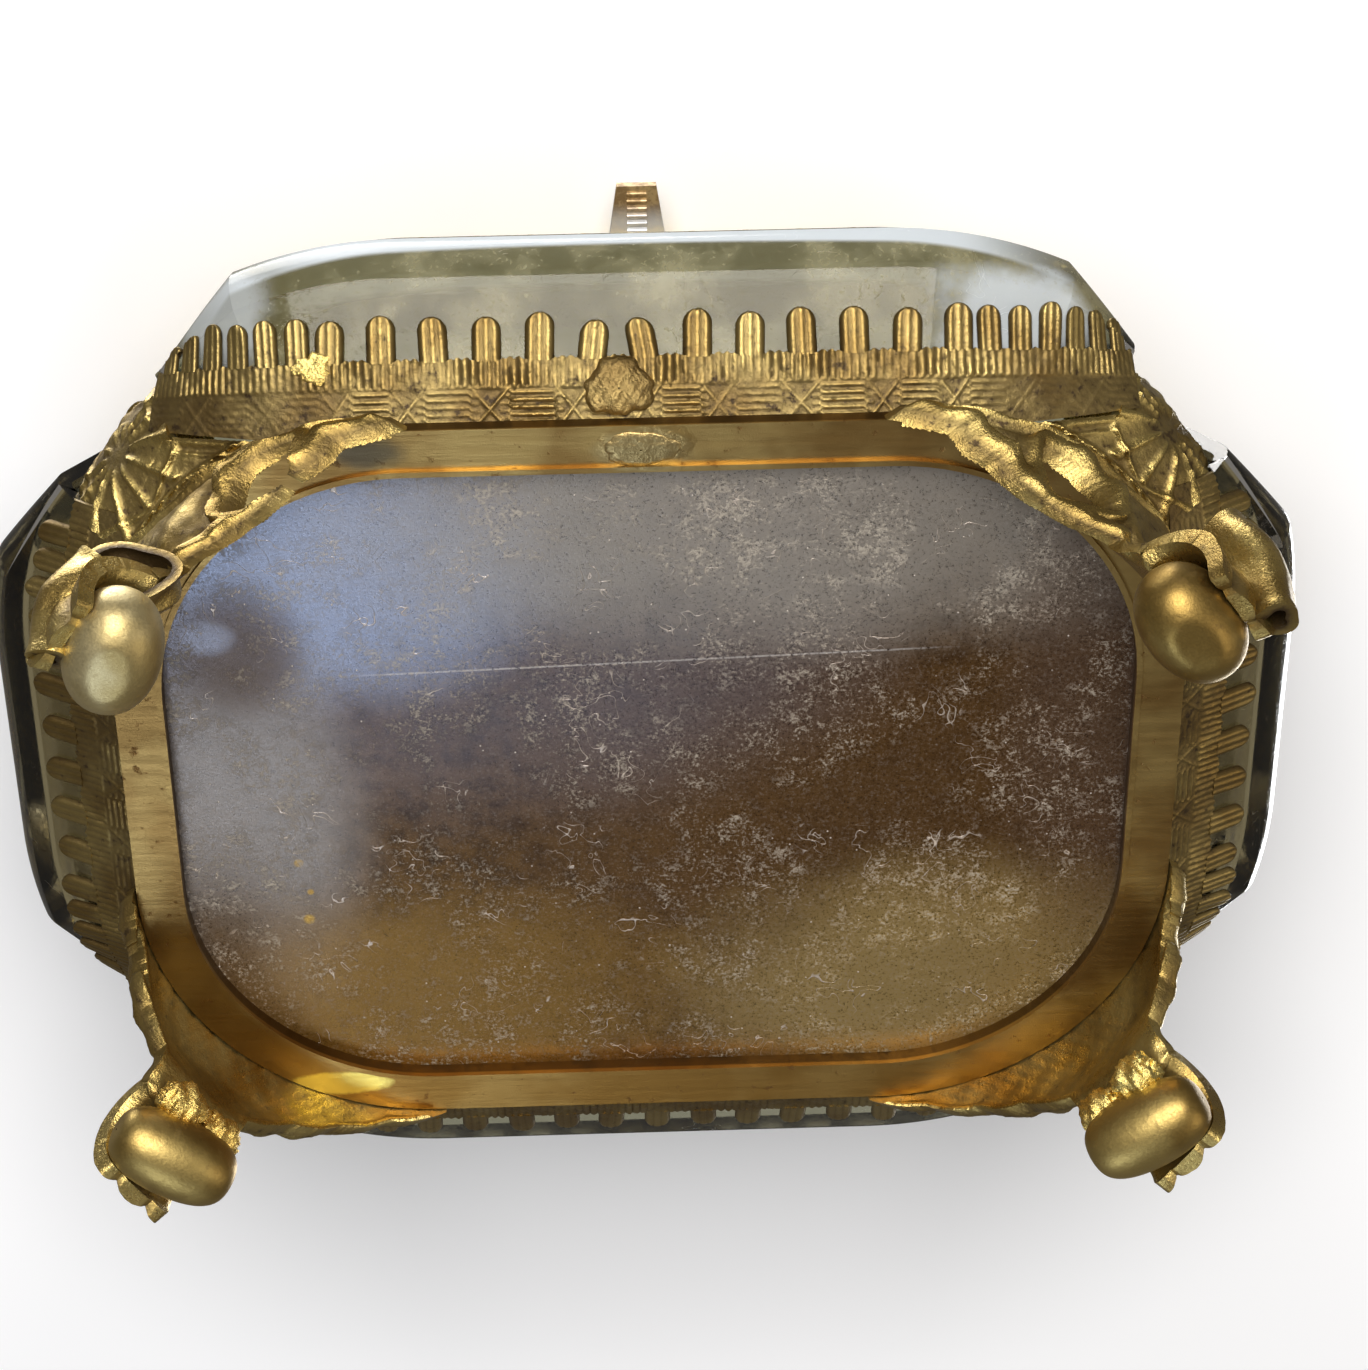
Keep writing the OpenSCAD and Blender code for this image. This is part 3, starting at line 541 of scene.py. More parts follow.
# %% The body's sizes
RING_R, CX, CY, STAND_H, RING_T = 30.6, 24.2, 12.1, 24.5, 1.6
LOW, BELLY, FIELD, TOP = 28.5, 50.0, 115.0, 137.0
LOW_L, BELLY_R, FIELD_L, TOP_L, PANE_T, PANE_EDGE_T = 13, 6.5, 19, 6.5, 4.2, 1.5
# Of each side: its turn, how far its corners' middles lie back, half its straight part, its wrap.
SIDES = {"front": (0, CY, CX, 39.0), "rear": (180, CY, CX, 39.0),
         "left": (-90, CX, CY, 28.0), "right": (90, CX, CY, 28.0)}
TILT_SIN, TILT_COS = np.sin(np.radians(57)), np.cos(np.radians(57))
STRIP_IN = 2.2
STRIP_W0 = (RING_R - STRIP_IN) * TILT_SIN + RING_T * TILT_COS
CORNERS = [(right, rear) for rear in (False, True) for right in (False, True)]
print("the strips start", round(STRIP_W0, 2), "mm up, seen square on")


# %% Directions, mitres and the section
def toward(degrees):
    """A step of one along a direction: (cos, sin)."""
    return np.array([np.cos(np.radians(degrees)), np.sin(np.radians(degrees))])


def away(degrees):
    """A step of one square to that direction, outwards: (sin, -cos)."""
    return np.array([np.sin(np.radians(degrees)), -np.cos(np.radians(degrees))])


def mitre(a, b):
    """The step that moves a corner out by one: both normals' sum over 1 + their product."""
    return (away(a) + away(b)) / (1 + away(a) @ away(b))


glass_low = np.array([0.6, RING_T + 1.3])
low_arris = glass_low + LOW_L * toward(LOW)
belly_c = low_arris - BELLY_R * away(BELLY)
field_start = belly_c + BELLY_R * away(FIELD)
top_arris = field_start + FIELD_L * toward(FIELD)
glass_top = top_arris + TOP_L * toward(TOP)
ARC = np.linspace(BELLY, FIELD, 13)
belly = [belly_c + BELLY_R * away(h) for h in ARC]
print("glass top at", np.round(glass_top, 2))


# %% Points on a side
MID_R = RING_R + 10
BELLY_OUT_R = 44.1


def on_side(side, s, r, z, angle=None):
    """A point of a side: straight while |s| < half, then round the corner's middle.
    x = s or half + r sin a, y = -(r cos a + setback), turned to face the side's way."""
    turned, setback, half, _ = SIDES[side]
    if angle is None:
        angle = np.maximum(np.abs(s) - half, 0) / MID_R
    x = np.sign(s) * (np.minimum(np.abs(s), half) + r * np.sin(angle))
    y = -r * np.cos(angle) - setback
    c, q = np.cos(np.radians(turned)), np.sin(np.radians(turned))
    return np.stack(np.broadcast_arrays(c * x - q * y, q * x + c * y, z + STAND_H), -1)


def flat_end(side, x_sign, angle):
    """How far a plane that cuts the belly lies inside it at an angle round the corner:
    belly radius times (cos(middle - angle) - cos(middle - start)), past the start."""
    wrap = SIDES[side][3]
    start, middle = (wrap - 17.0, wrap + 14.0) if side == "front" else (wrap - 14.0, wrap + 13.0)
    start = np.where((side == "front") & (np.asarray(x_sign) > 0), start + 3.0, start)
    cut = np.cos(np.radians(middle) - angle) - np.cos(np.radians(middle - start))
    return BELLY_OUT_R * np.where(angle > np.radians(start), np.maximum(cut, 0), 0)


def lerp_rows(u, table):
    """The rows of a table at fractional row numbers u."""
    k = np.arange(len(table))
    return np.stack([np.interp(u, k, table[:, c]) for c in range(table.shape[1])], -1)


front_cut = flat_end("front", -1, np.radians(SIDES["front"][3]))
print("the front panel's end is cut", round(float(front_cut), 2), "mm deep")

# %% [markdown]
# ## The glass panels
# Each panel is one pane, bent in a kiln and ground on a wheel: a grid of stations along the
# side by points up the section. A Bevel modifier rounds edges evenly and can't grind a wide
# bevel that dies out, so the bevels are worked out. The upright ends are ground flat by a
# plane, so the outer skin sinks towards the inner one, and the lower edge is cut by a plane
# that slopes inwards, so it climbs round the corners.

# %% The glass panels
def pane(side):
    """Outer skin = section + mitre times minus the end bevel's depth; inner skin = the section's
    inner line. Both start where the sloping plane r cos a sin 57 + z cos 57 = const cuts them."""
    _, _, half, wrap = SIDES[side]
    outer = np.array([glass_low, low_arris, *belly, top_arris, glass_top])
    push = np.array([away(LOW), mitre(LOW, BELLY), *[away(h) for h in ARC], mitre(FIELD, TOP),
                     away(TOP)])
    share = np.array([0, *[1.0] * (len(ARC) + 2), 0])
    inner_arc = [belly_c + (BELLY_R - PANE_T) * away(h) for h in ARC]
    inner_low = glass_low - PANE_EDGE_T * away(LOW)
    inner = np.array([inner_low, inner_low * 0.08 + inner_arc[0] * 0.92, *inner_arc,
                      top_arris - PANE_T * away(FIELD), glass_top - PANE_EDGE_T * away(TOP)])
    round_part = np.linspace(0, np.radians(wrap), 40)[1:]
    angle = np.concatenate([round_part[::-1], np.zeros(9), round_part])
    s = np.concatenate([-np.full(len(round_part), half), np.linspace(-half, half, 9),
                        np.full(len(round_part), half)])
    depth = flat_end(side, s, angle)
    skins = []
    for line, sink in ((outer, depth), (inner, np.maximum(depth - 2.7, 0))):
        e = line[None, :, 0] - sink[:, None] * share * push[None, :, 0] + RING_R
        z = line[None, :, 1] - sink[:, None] * share * push[None, :, 1]
        level = e * np.cos(angle)[:, None] * TILT_SIN + z * TILT_COS
        f = np.clip((STRIP_W0 + 2.6 - level[:, 0]) / (level[:, 1] - level[:, 0]), 0, 0.97)
        e[:, 0] += f * (e[:, 1] - e[:, 0])
        z[:, 0] += f * (z[:, 1] - z[:, 0])
        skins.append(on_side(side, s[:, None], e, z, angle[:, None]).reshape(-1, 3))
    points, faces = walled(*skins, quads(len(s), len(outer)))
    return piece("pane_" + side, points, faces, glass, "glass", sharp=12,
                 stands_for=("glass_" + side,))


for side in SIDES:
    pane(side)

# %% [markdown]
# ## The tongued gallery strips
# The strips were rolled from thin sheet between engraved dies: a fret band, a band of fine
# flutes, and a row of round-ended tongues that were bent over the glass. Drawing the strip
# square on and laying it on the bent sheet is what the stamping press did, so the code does
# the same: a flat drawing (x, w) plus a relief d is laid on the section.

# %% Laying a flat drawing on the bent sheet
ARC_USED = 9
sheet_line = np.array([[-STRIP_IN, 2.4], glass_low - 1.1 * toward(LOW), low_arris,
                       *belly[:ARC_USED]])
sheet_push = np.array([[0.0, -1.0], mitre(0, LOW), mitre(LOW, BELLY),
                       *[away(h) for h in ARC[:ARC_USED]]])
SHEET_SINK = np.array([[0.0], [0.0], *[[1.0]] * (ARC_USED + 1)])
CLIMB, CLIMB_FROM = np.tan(np.radians(6)), 8.0


def lower_edge(side, x):
    """The strips' lower edge climbs at 6 degrees from 8 mm past the straight part."""
    return CLIMB * np.maximum(np.abs(x) - SIDES[side][2] - CLIMB_FROM, 0)


def lay(side, x, w, d):
    """Finds the sheet's point seen at (x, w). Round a corner the seen x is half + r sin a and the
    seen height is w = r cos a sin 57 + z cos 57, so radius, angle and place up the section
    are found by repeating the three until they agree."""
    half = SIDES[side][2]
    x, w, d = np.broadcast_arrays(x, w, d)
    over = np.maximum(np.abs(x) - half, 0)
    line = sheet_line + 0.75 * sheet_push
    r = np.full(x.shape, MID_R)
    for _ in range(10):
        angle = np.arcsin(np.clip(over / r, 0, 0.95))
        level = (RING_R + line[:, 0]) * np.cos(angle)[..., None] * TILT_SIN \
            + line[:, 1] * TILT_COS
        k = np.clip((level <= w[..., None]).sum(-1) - 1, 0, len(line) - 2)
        low = np.take_along_axis(level, k[..., None], -1)[..., 0]
        high = np.take_along_axis(level, k[..., None] + 1, -1)[..., 0]
        u = k + np.clip((w - low) / (high - low), 0, 1)
        r = RING_R + lerp_rows(u, line)[..., 0]
    sink = flat_end(side, x, angle) * lerp_rows(u, SHEET_SINK)[..., 0] ** 2
    ez = lerp_rows(u, sheet_line) + (d - sink)[..., None] * lerp_rows(u, sheet_push)
    s = np.where(over > 0, np.sign(x) * half, np.sign(x) * np.minimum(np.abs(x), half))
    return on_side(side, s, RING_R + ez[..., 0], ez[..., 1], angle)


print("the sheet's line has", len(sheet_line), "points")


# %% Hand-made unevenness
def ripple(x, y, seed):
    """Smooth hand-made unevenness between -1 and 1: a few sines of unlike lengths."""
    a = np.random.default_rng(seed).uniform(0, 6.28, 6)
    return (np.sin(x * 0.31 + a[0]) * np.cos(y * 0.57 + a[1]) + np.sin(x * 0.83 + y * 0.4 + a[2])
            + np.sin(x * 1.9 - y * 1.3 + a[3]) * 0.6 + np.sin(x * 3.7 + y * 2.9 + a[4]) * 0.4) / 3


print("unevenness at one place:", round(float(ripple(0.0, 0.0, 1)), 3))

# %% Fret, flutes and bead
FLUTES_FROM = (5.0, 5.3)


def smooth(t, a, b):
    """0 below a, 1 above b, and 3 t^2 - 2 t^3 between; b may also lie below a."""
    t = np.clip((t - a) / (b - a), 0, 1)
    return t * t * (3 - 2 * t)


def bell(x, width):
    """exp(-(x / width)^2): one at zero, and soon nothing."""
    return np.exp(-(x / width) ** 2)


def flutes(s):
    """Upright ridges 0.8 mm apart, rounded on top."""
    return np.abs(np.cos(np.pi * s / 0.8)) ** 0.7


def fret(s, v):
    """Stacked bars 0.72 mm apart, 7.6 mm long, that step down beside a slanting cross: the
    bars are a wave of height, the cross is near zero distance from its two arms."""
    q = np.mod(s + 0.5 * np.sin(s * 0.21), 7.6) - 3.8
    h = v - 3.2
    hook = smooth(np.abs(q), 1.9, 2.2) * 0.36
    bars = 0.5 + 0.5 * np.cos(2 * np.pi * (h + hook * np.sign(q)) / 0.72)
    near = 3.8 - np.abs(q)
    cross = bell(np.abs(near - np.abs(h + 0.2) * 0.8), 0.20)
    return np.where(near < 1.5, np.maximum(cross, 0.45 * bars * (near > 0.9)), bars)


def band_relief(s, v):
    """Fret low down, flutes above, a plain bead between."""
    up = smooth(v, *FLUTES_FROM)
    bead = 0.7 * bell(v - 5.1, 0.16)
    raised = (1 - up) * fret(s, v) * smooth(v, 0.9, 1.3) * 0.9 + up * flutes(s)
    return np.maximum(raised, bead)


print("fret up to", FLUTES_FROM[0], "mm, flutes above", FLUTES_FROM[1], "mm")

# %% Where the tongues stand
BAND_H, PITCH, END_PITCH, TONGUE_W, TONGUE_L = 7.8, 5.15, 3.2, 2.9, 4.4


def places(side):
    """Where the tongues stand: a full pitch in the middle, crowded towards the ends."""
    _, _, half, wrap = SIDES[side]
    wide_ones = int((half + 6.8) / PITCH)
    reach = wide_ones * PITCH
    end = half + np.radians(wrap) * MID_R
    n = wide_ones + int((end - reach - TONGUE_W / 2) / END_PITCH)
    number = np.arange(-n, n + 1)
    a = np.abs(number)
    s = np.where(a <= wide_ones, a * PITCH, reach + (a - wide_ones) * END_PITCH)
    return np.sign(number) * s, a > wide_ones


def seen(side, s):
    """A distance round the strip as it is seen square on."""
    half = SIDES[side][2]
    over = np.maximum(np.abs(s) - half, 0)
    return np.sign(s) * (np.minimum(np.abs(s), half) + MID_R * np.sin(over / MID_R))


print("tongues on the front:", len(places("front")[0]))

# %% The band
STRIP_STEP, BAND_ROWS, SHEET_BACK = 0.165, 56, 0.20


def band(side, centre, seed):
    """Grid over (distance round, height). Its top is scalloped between the tongues, and the
    fret is worn by the uneven ripple and rubbed flat round the corners."""
    _, _, half, wrap = SIDES[side]
    end = half + np.radians(wrap + 0.8) * MID_R
    s = np.linspace(-end, end, int(2 * end / STRIP_STEP))[:, None]
    gap = np.abs(s - centre[None, :]).min(1)[:, None]
    top = BAND_H + 0.30 * np.abs(np.sin(s * 2 * np.pi / 1.7)) * smooth(gap, 1.3, 1.7)
    x = seen(side, s)
    low = lower_edge(side, x)
    v = low + np.linspace(0, 1, BAND_ROWS)[None, :] * (top - low)
    wear = np.clip(0.62 + 0.55 * ripple(s * 0.5, v * 0.9, seed), 0.12, 1.0)
    wear = wear * (1 - 0.7 * smooth(np.abs(s), half + 2, half + 12) * (1 - smooth(v, *FLUTES_FROM)))
    raised = band_relief(s, v) * wear
    depth = 0.60 + 0.26 * raised + 0.07 * ripple(s * 1.4, v * 2, seed + 1)
    # Painted shadow: in front the strip's lowest millimetre is darkened through the hollow field,
    # for the slit under it.
    painted_slit_shade = (side == "front") * smooth(25.5 - np.abs(s), 0, 2) * (1 - smooth(v, 0.55, 1.0))
    return (lay(side, x, STRIP_W0 + v, depth), lay(side, x, STRIP_W0 + v, SHEET_BACK),
            quads(*v.shape), np.maximum(0.95 - raised, painted_slit_shade * 1.6))


print("a band's grid is", BAND_ROWS, "points high")

# %% The tongues, and a whole strip
ACROSS = np.linspace(-1, 1, 15)[:, None]
UP = np.concatenate([np.linspace(0, 1, 9)[:-1], 1 + np.linspace(0, 1, 8)])[None, :]


def tongue(side, number, place, narrow, seed):
    """A fluted bar (UP from 0 to 1) with a half round end (UP from 1 to 2). Each one leans and
    reaches a little differently, and the two at the front's joint are short and lean apart."""
    wide = (END_PITCH - 0.7 if narrow else TONGUE_W) / 2
    joined_here = side == "front" and -6 < place < 1
    long = TONGUE_L * (1 + 0.05 * np.sin(number * 2.3 + seed) - 0.12 * joined_here)
    tip = np.clip(UP - 1, 0, 1) * np.pi / 2
    bar = long - wide + 0.15
    y = -0.15 + np.where(UP < 1, UP * bar, bar + wide * np.sin(tip))
    across = ACROSS * wide * np.maximum(np.cos(tip), 0.06)
    lean = (0.16 * np.sin(number * 1.7 + seed) - 0.5 * joined_here * np.sign(place + 1)) * y / long
    ridge = flutes(across / wide * 1.25) * (1 - np.abs(ACROSS) ** 6) * (1 - smooth(UP, 1.55, 1.95))
    edge = np.maximum(np.abs(ACROSS) ** 8, smooth(UP, 1.7, 2.0))
    squeeze = np.cos(np.maximum(np.abs(place) - SIDES[side][2], 0) / MID_R)
    x, w = seen(side, place) + (across + lean) * squeeze, STRIP_W0 + BAND_H + y
    out = 0.66 + 0.17 * ridge - 0.30 * edge + 0.05 * np.sin(number * 3.1)
    return (lay(side, x, w, out), lay(side, x, w, 0.18), quads(*across.shape),
            np.maximum(1 - ridge, edge))


def strip(side, seed):
    """The band's grid and one small grid a tongue, joined in one mesh."""
    centre, crowded = places(side)
    tongues = [tongue(side, i, *of_it, seed) for i, of_it in enumerate(zip(centre, crowded))]
    points, faces, hollow = joined([band(side, centre, seed), *tongues])
    return piece("strip_" + side, points, faces, strip_brass, "stamped_brass", sharp=50,
                 stands_for=("gallery_" + side,), hollow=hollow)


for number, side in enumerate(SIDES):
    strip(side, 10 + number)

# %% [markdown]
# ## The corner castings
# Between two strips the ring carries an engraved casting: a fan below the strips' lower edge,
# and a post that climbs between two panes to the rim. A granular rib follows the ring, a
# polished border follows the upper edge, and a burst of rays in a lozenge frame fills the
# field. Sculpting would do, but an engraver works with a compass and a rule too: the relief
# is a height over (distance along the arc, distance up the casting).

# %% Smooth section lines
LINE_STEP = 0.05


def smooth_line(corners, window, count):
    """A broken line evened out: resampled finely, averaged over a window, resampled again."""
    corners = np.array(corners, float)
    run = np.concatenate([[0], np.cumsum(np.linalg.norm(np.diff(corners, axis=0), axis=1))])
    fine = np.arange(-window, run[-1] + window, LINE_STEP)
    inside = np.clip(fine, 0, run[-1])
    dense = np.stack([np.interp(inside, run, corners[:, c]) for c in (0, 1)], -1)
    before = (fine < 0)[:, None]
    slope = np.where(before, corners[1] - corners[0], corners[-1] - corners[-2]) \
        / np.where(before, run[1], run[-1] - run[-2])
    dense += (fine - inside)[:, None] * slope
    box = np.ones(int(window / LINE_STEP)) / int(window / LINE_STEP)
    soft = np.stack([np.convolve(dense[:, c], box, "same") for c in (0, 1)], -1)
    keep = soft[(fine >= 0) & (fine <= run[-1])]
    return lerp_rows(np.linspace(0, len(keep) - 1, count), keep)


def normals(line):
    """Unit normals of a section line that runs upwards, pointing outwards."""
    t = np.gradient(line, axis=0)
    n = np.stack([t[:, 1], -t[:, 0]], -1)
    return n / np.linalg.norm(n, axis=1)[:, None]


def at_corner(points, right, rear):
    """Points about the front right corner's middle, mirrored onto any corner."""
    return (points + [CX, -CY, STAND_H]) * [1 if right else -1, -1 if rear else 1, 1]


def corner_name(right, rear):
    """Such as front_left."""
    return f"{'rear' if rear else 'front'}_{'right' if right else 'left'}"


RIM_Z = glass_top[1] + 0.15
MOUNT_N = 400
mount = smooth_line([[0, 1.6], [5.8, 6.5], [7.0, 9.6], [7.4, 12.6], [7.0, 15.6], [5.6, 20.1],
                     [glass_top[0] - 1.4, RIM_Z]], 1.6, MOUNT_N)
mount_normal = normals(mount)
mount_run = np.linspace(0, 1, MOUNT_N) * np.linalg.norm(np.diff(mount, axis=0), axis=1).sum()
print("a casting is", round(float(mount_run[-1]), 1), "mm long up its section")

# %% How far up a casting reaches
CAP_SPAN, POST_SPAN, POST_MIDDLE = (40.6, 60.4), (39.6, 61.4), 50.5
POST_HALF, CASTING_R = 6.4, 34.0


def cap_height(angle):
    """How far up the casting reaches at each angle: to the strips' sloping lower edge on either
    side, and straight across between them."""
    def limit(a):
        r = RING_R + mount[None, :, 0]
        level = r * np.cos(a)[:, None] * TILT_SIN + mount[None, :, 1] * TILT_COS
        edge = STRIP_W0 - 0.15 + CLIMB * np.maximum(r * np.sin(a)[:, None] - CLIMB_FROM, 0)
        return np.interp((level < edge).sum(1), np.arange(MOUNT_N), mount_run)
    first, last = np.radians(CAP_SPAN)
    low, high = limit(np.minimum(angle, first)), limit(np.pi / 2 - np.maximum(angle, last))
    across = np.interp(angle, [first, last], limit(np.array([first, np.pi / 2 - last])))
    return np.where(angle < first, low, np.where(angle > last, high, across))


under_post = cap_height(np.radians([POST_MIDDLE]))[0]
print("the fan reaches", round(float(under_post), 1), "mm up under the post")


# %% The relief of the corner castings
def burst(along, up):
    """Rays every 30 degrees from a point 10.5 mm up, a lozenge frame round them, and a smaller
    lozenge on either side."""
    y, off = 10.5 - up, np.abs(along)
    turn, reach = np.arctan2(along, y), np.hypot(along, y)
    rays = 0.50 * (0.5 + 0.5 * np.cos(turn * 12.0)) ** 5 * smooth(reach, 1.0, 2.6) \
        * smooth(reach, 13, 10)
    lozenge = np.abs(off * 0.40 + np.abs(y - 1.5) * 0.80 - 5.4)
    small_ones = np.abs(np.abs(off - 18.5) * 0.40 + np.abs(up - 4.4) * 0.85 - 1.7)
    swell = 0.45 * bell(off - 7.5, 3.6) * bell(y - 4.0, 3.0)
    return rays + 0.42 * bell(np.minimum(lozenge, small_ones), 0.28) + swell


def fan_relief(along, up, seed):
    """Granular rib, second rib, a border below the strips, and the burst in the field."""
    cap = up[:, -1:]
    grain = 0.16 * np.sin(along * 7.3 + up * 5) * np.sin(along * 4.1 - up * 9 + seed)
    rib = (0.62 + grain) * bell(up - 0.9, 0.42) + (0.42 + grain) * bell(up - 2.1, 0.34)
    clear = smooth(np.abs(along), 5.6, 6.8)
    border = (0.34 * bell(up - cap + 0.55, 0.5) + 0.24 * bell(up - cap + 1.9, 0.28)) * clear
    field = smooth(up, 2.5, 3.1) * np.maximum(smooth(cap - up, 1.7, 2.4), 1 - clear)
    return (rib + border + field * burst(along, up)) * smooth(cap, 0.6, 3.0)


def post_relief(along, up, seed):
    """Two ribs along each edge; above, a rounded spine between chevrons; below, the burst."""
    side_gap = POST_HALF - np.abs(along)
    above = smooth(up, 12.0, 14.5)
    ribs = (0.30 * bell(side_gap - 0.5, 0.4) + 0.30 * bell(side_gap - 1.7, 0.3)) * smooth(up, 8, 11)
    spine = 0.45 * bell(along, 1.3) * (0.6 + 0.4 * np.cos(up * 1.4))
    chevrons = 0.2 * bell(np.abs(np.mod(up + np.abs(along) * 1.3, 4.5) - 2.25), 0.35)
    return ribs + above * (spine + chevrons) + (1 - above) * burst(along, up)


print("a ray stands", round(float(burst(np.array(0.0), np.array(7.0))), 2), "mm high")


# %% The corner castings
def corner_casting(right, rear, seed):
    """Two grids share the section line: the fan from the ring up to the strips' lower edge, and
    the post from there to the rim. Both are moved out along the line's normal by the relief."""
    fan = np.radians(np.linspace(0.3, 89.7, 230))
    post = np.radians(np.linspace(*POST_SPAN, 60))
    solids = []
    for angle, low, high, rows, relief in (
            (fan, 0 * fan, cap_height(fan), 64, fan_relief),
            (post, cap_height(post) - 0.2, mount_run[-1], 110, post_relief)):
        up = low[:, None] + np.linspace(0, 1, rows)[None, :] * (high - low)[:, None]
        along = (angle[:, None] - np.radians(POST_MIDDLE)) * CASTING_R
        h = relief(along, up, seed) + 0.10 * ripple(along * 1.3, up * 1.3, seed)
        k = np.interp(up, mount_run, np.arange(MOUNT_N))
        line, out = lerp_rows(k, mount), lerp_rows(k, mount_normal)
        skins = []
        for skin in (line + out * (h[..., None] - 0.15), line - [1.4, 0]):
            r = RING_R + skin[..., 0]
            ring = [r * np.sin(angle)[:, None], -r * np.cos(angle)[:, None], skin[..., 1]]
            skins.append(at_corner(np.stack(ring, -1), right, rear))
        solids.append((*skins, quads(*up.shape), 1 - smooth(h, 0.05, 0.42)))
    points, faces, hollow = joined(solids)
    where = corner_name(right, rear)
    return piece("casting_" + where, points, faces, cast_brass, "cast_brass", sharp=60,
                 stands_for=("corner_mount_" + where,), hollow=hollow)


for seed, (right, rear) in enumerate(CORNERS):
    corner_casting(right, rear, seed)

# %% [markdown]
# ## The claw feet
# Each foot is one leaf-shaped casting: two pierced arms lie along the ring and run down to an
# ankle, and below it the leaf closes round an egg-shaped ball as a claw. The casting is a
# bent sheet, so it is cut from a fine grid by its outline: points near the outline are moved
# onto it, and the quads outside are dropped. A Boolean would do the same and leave long thin
# triangles, on which the veins of the leaf would look torn.

# %% Cutting a grid by an outline
def gap_to(points, corners):
    """Signed distance to a closed outline (below zero inside) and its nearest point.
    Inside is found by counting the edges crossed by a ray to the right."""
    a, b = corners, np.roll(corners, -1, 0)
    edge = b - a
    t = np.einsum("pkc,kc->pk", points[:, None] - a, edge) / np.maximum((edge ** 2).sum(1), 1e-12)
    near = a + np.clip(t, 0, 1)[..., None] * edge
    away_from = np.linalg.norm(points[:, None] - near, axis=-1)
    k = away_from.argmin(1)
    x, y = points[:, :1], points[:, 1:]
    crosses = ((a[:, 1] > y) != (b[:, 1] > y)) & (
        x < a[:, 0] + (y - a[:, 1]) * edge[:, 0] / np.where(edge[:, 1] == 0, 1e-12, edge[:, 1]))
    inside = crosses.sum(1) % 2 == 1
    n = np.arange(len(points))
    return np.where(inside, -1, 1) * away_from[n, k], near[n, k]


unit_square = np.array([[0, 0], [1, 0], [1, 1], [0, 1]])
print("the middle of a unit square lies", gap_to(np.array([[0.5, 0.5]]), unit_square)[0][0])

# %% The foot's section, outline and holes
FOOT_TURN, LEAF_T, BALL_OUT, BALL_Z, BALL_R, BALL_HALF = 54.5, 1.2, 2.1, -20.2, 4.75, 6.4
ANKLE_HALF, CLAW_R, FOOT_ROWS, LEAF_R = 6.6, 4.95, 150, RING_R + 0.7
claw = [np.array([BALL_OUT, BALL_Z]) + CLAW_R * toward(t) for t in np.linspace(100, -25, 12)]
foot_back = smooth_line([[0.1, 1], [0.1, 0], [0.8, -2.5], [1, -5.5], [0, -9], [-0.8, -11.5],
                         *claw], 1.4, FOOT_ROWS)
foot_normal = -normals(foot_back)


def leaf_outline():
    """Top edge along the ring, scalloped lower edges down to the ankle, lobed toe edge."""
    def arm(a):
        v = np.linspace(0, 1, 60)
        b = np.radians(a) + (np.sign(a) * np.arcsin(ANKLE_HALF / LEAF_R) - np.radians(a)) * v
        z = -0.4 - 10.6 * v ** 1.35 - 0.5 * np.abs(np.sin(np.pi * 4 * v))
        return np.stack([LEAF_R * np.sin(b), z], -1)
    v = np.linspace(-1, 1, 40)
    toe_z = -22 - 0.9 * np.abs(np.cos(np.pi * 1.5 * v)) + 1.4 * v * v
    toe_edge = np.stack([-ANKLE_HALF * v * (1.05 - 0.3 * v * v), toe_z], -1)
    top = [[LEAF_R * np.sin(np.radians(a)), 1.0] for a in (-FOOT_TURN, 90 - FOOT_TURN)]
    return np.concatenate([top, arm(90 - FOOT_TURN), toe_edge, arm(-FOOT_TURN)[::-1]])


def almond(cx, cz, turned, long, wide):
    """Two arcs whose height over the chord is half the width."""
    v = np.linspace(-1, 1, 20)
    rim = np.concatenate([np.stack([v * long / 2, wide / 2 * (1 - v * v)], -1),
                          np.stack([-v * long / 2, -wide / 2 * (1 - v * v)], -1)[1:-1]])
    c, s = np.cos(np.radians(turned)), np.sin(np.radians(turned))
    return rim @ np.array([[c, s], [-s, c]]) + [cx, cz]


# The short arm's hole is the same on every foot. The front feet also have one in the long arm,
# and their arms lean in further: of each (right, rear) its long arm's hole, if any, and its lean.
OUTLINE, SHORT_HOLE = leaf_outline(), almond(12.5, -3.2, 33, 6.8, 2.5)
LONG_HOLE = {(False, False): almond(-15.2, -3.5, -32, 9.2, 3.9),
             (True, False): almond(-11.2, -4.6, -38, 8.6, 3.4)}
ARM_LEAN = {(False, False): 2.6, (True, False): 3.1, (False, True): 0.6, (True, True): 0.6}
print("the leaf is", round(float(np.ptp(OUTLINE[:, 0])), 1), "mm across")


# %% A leaf cut from its grid
LEAF_STEP, SNAP, MOST_ROWS_MOVED = 0.21, 0.75, 2.5


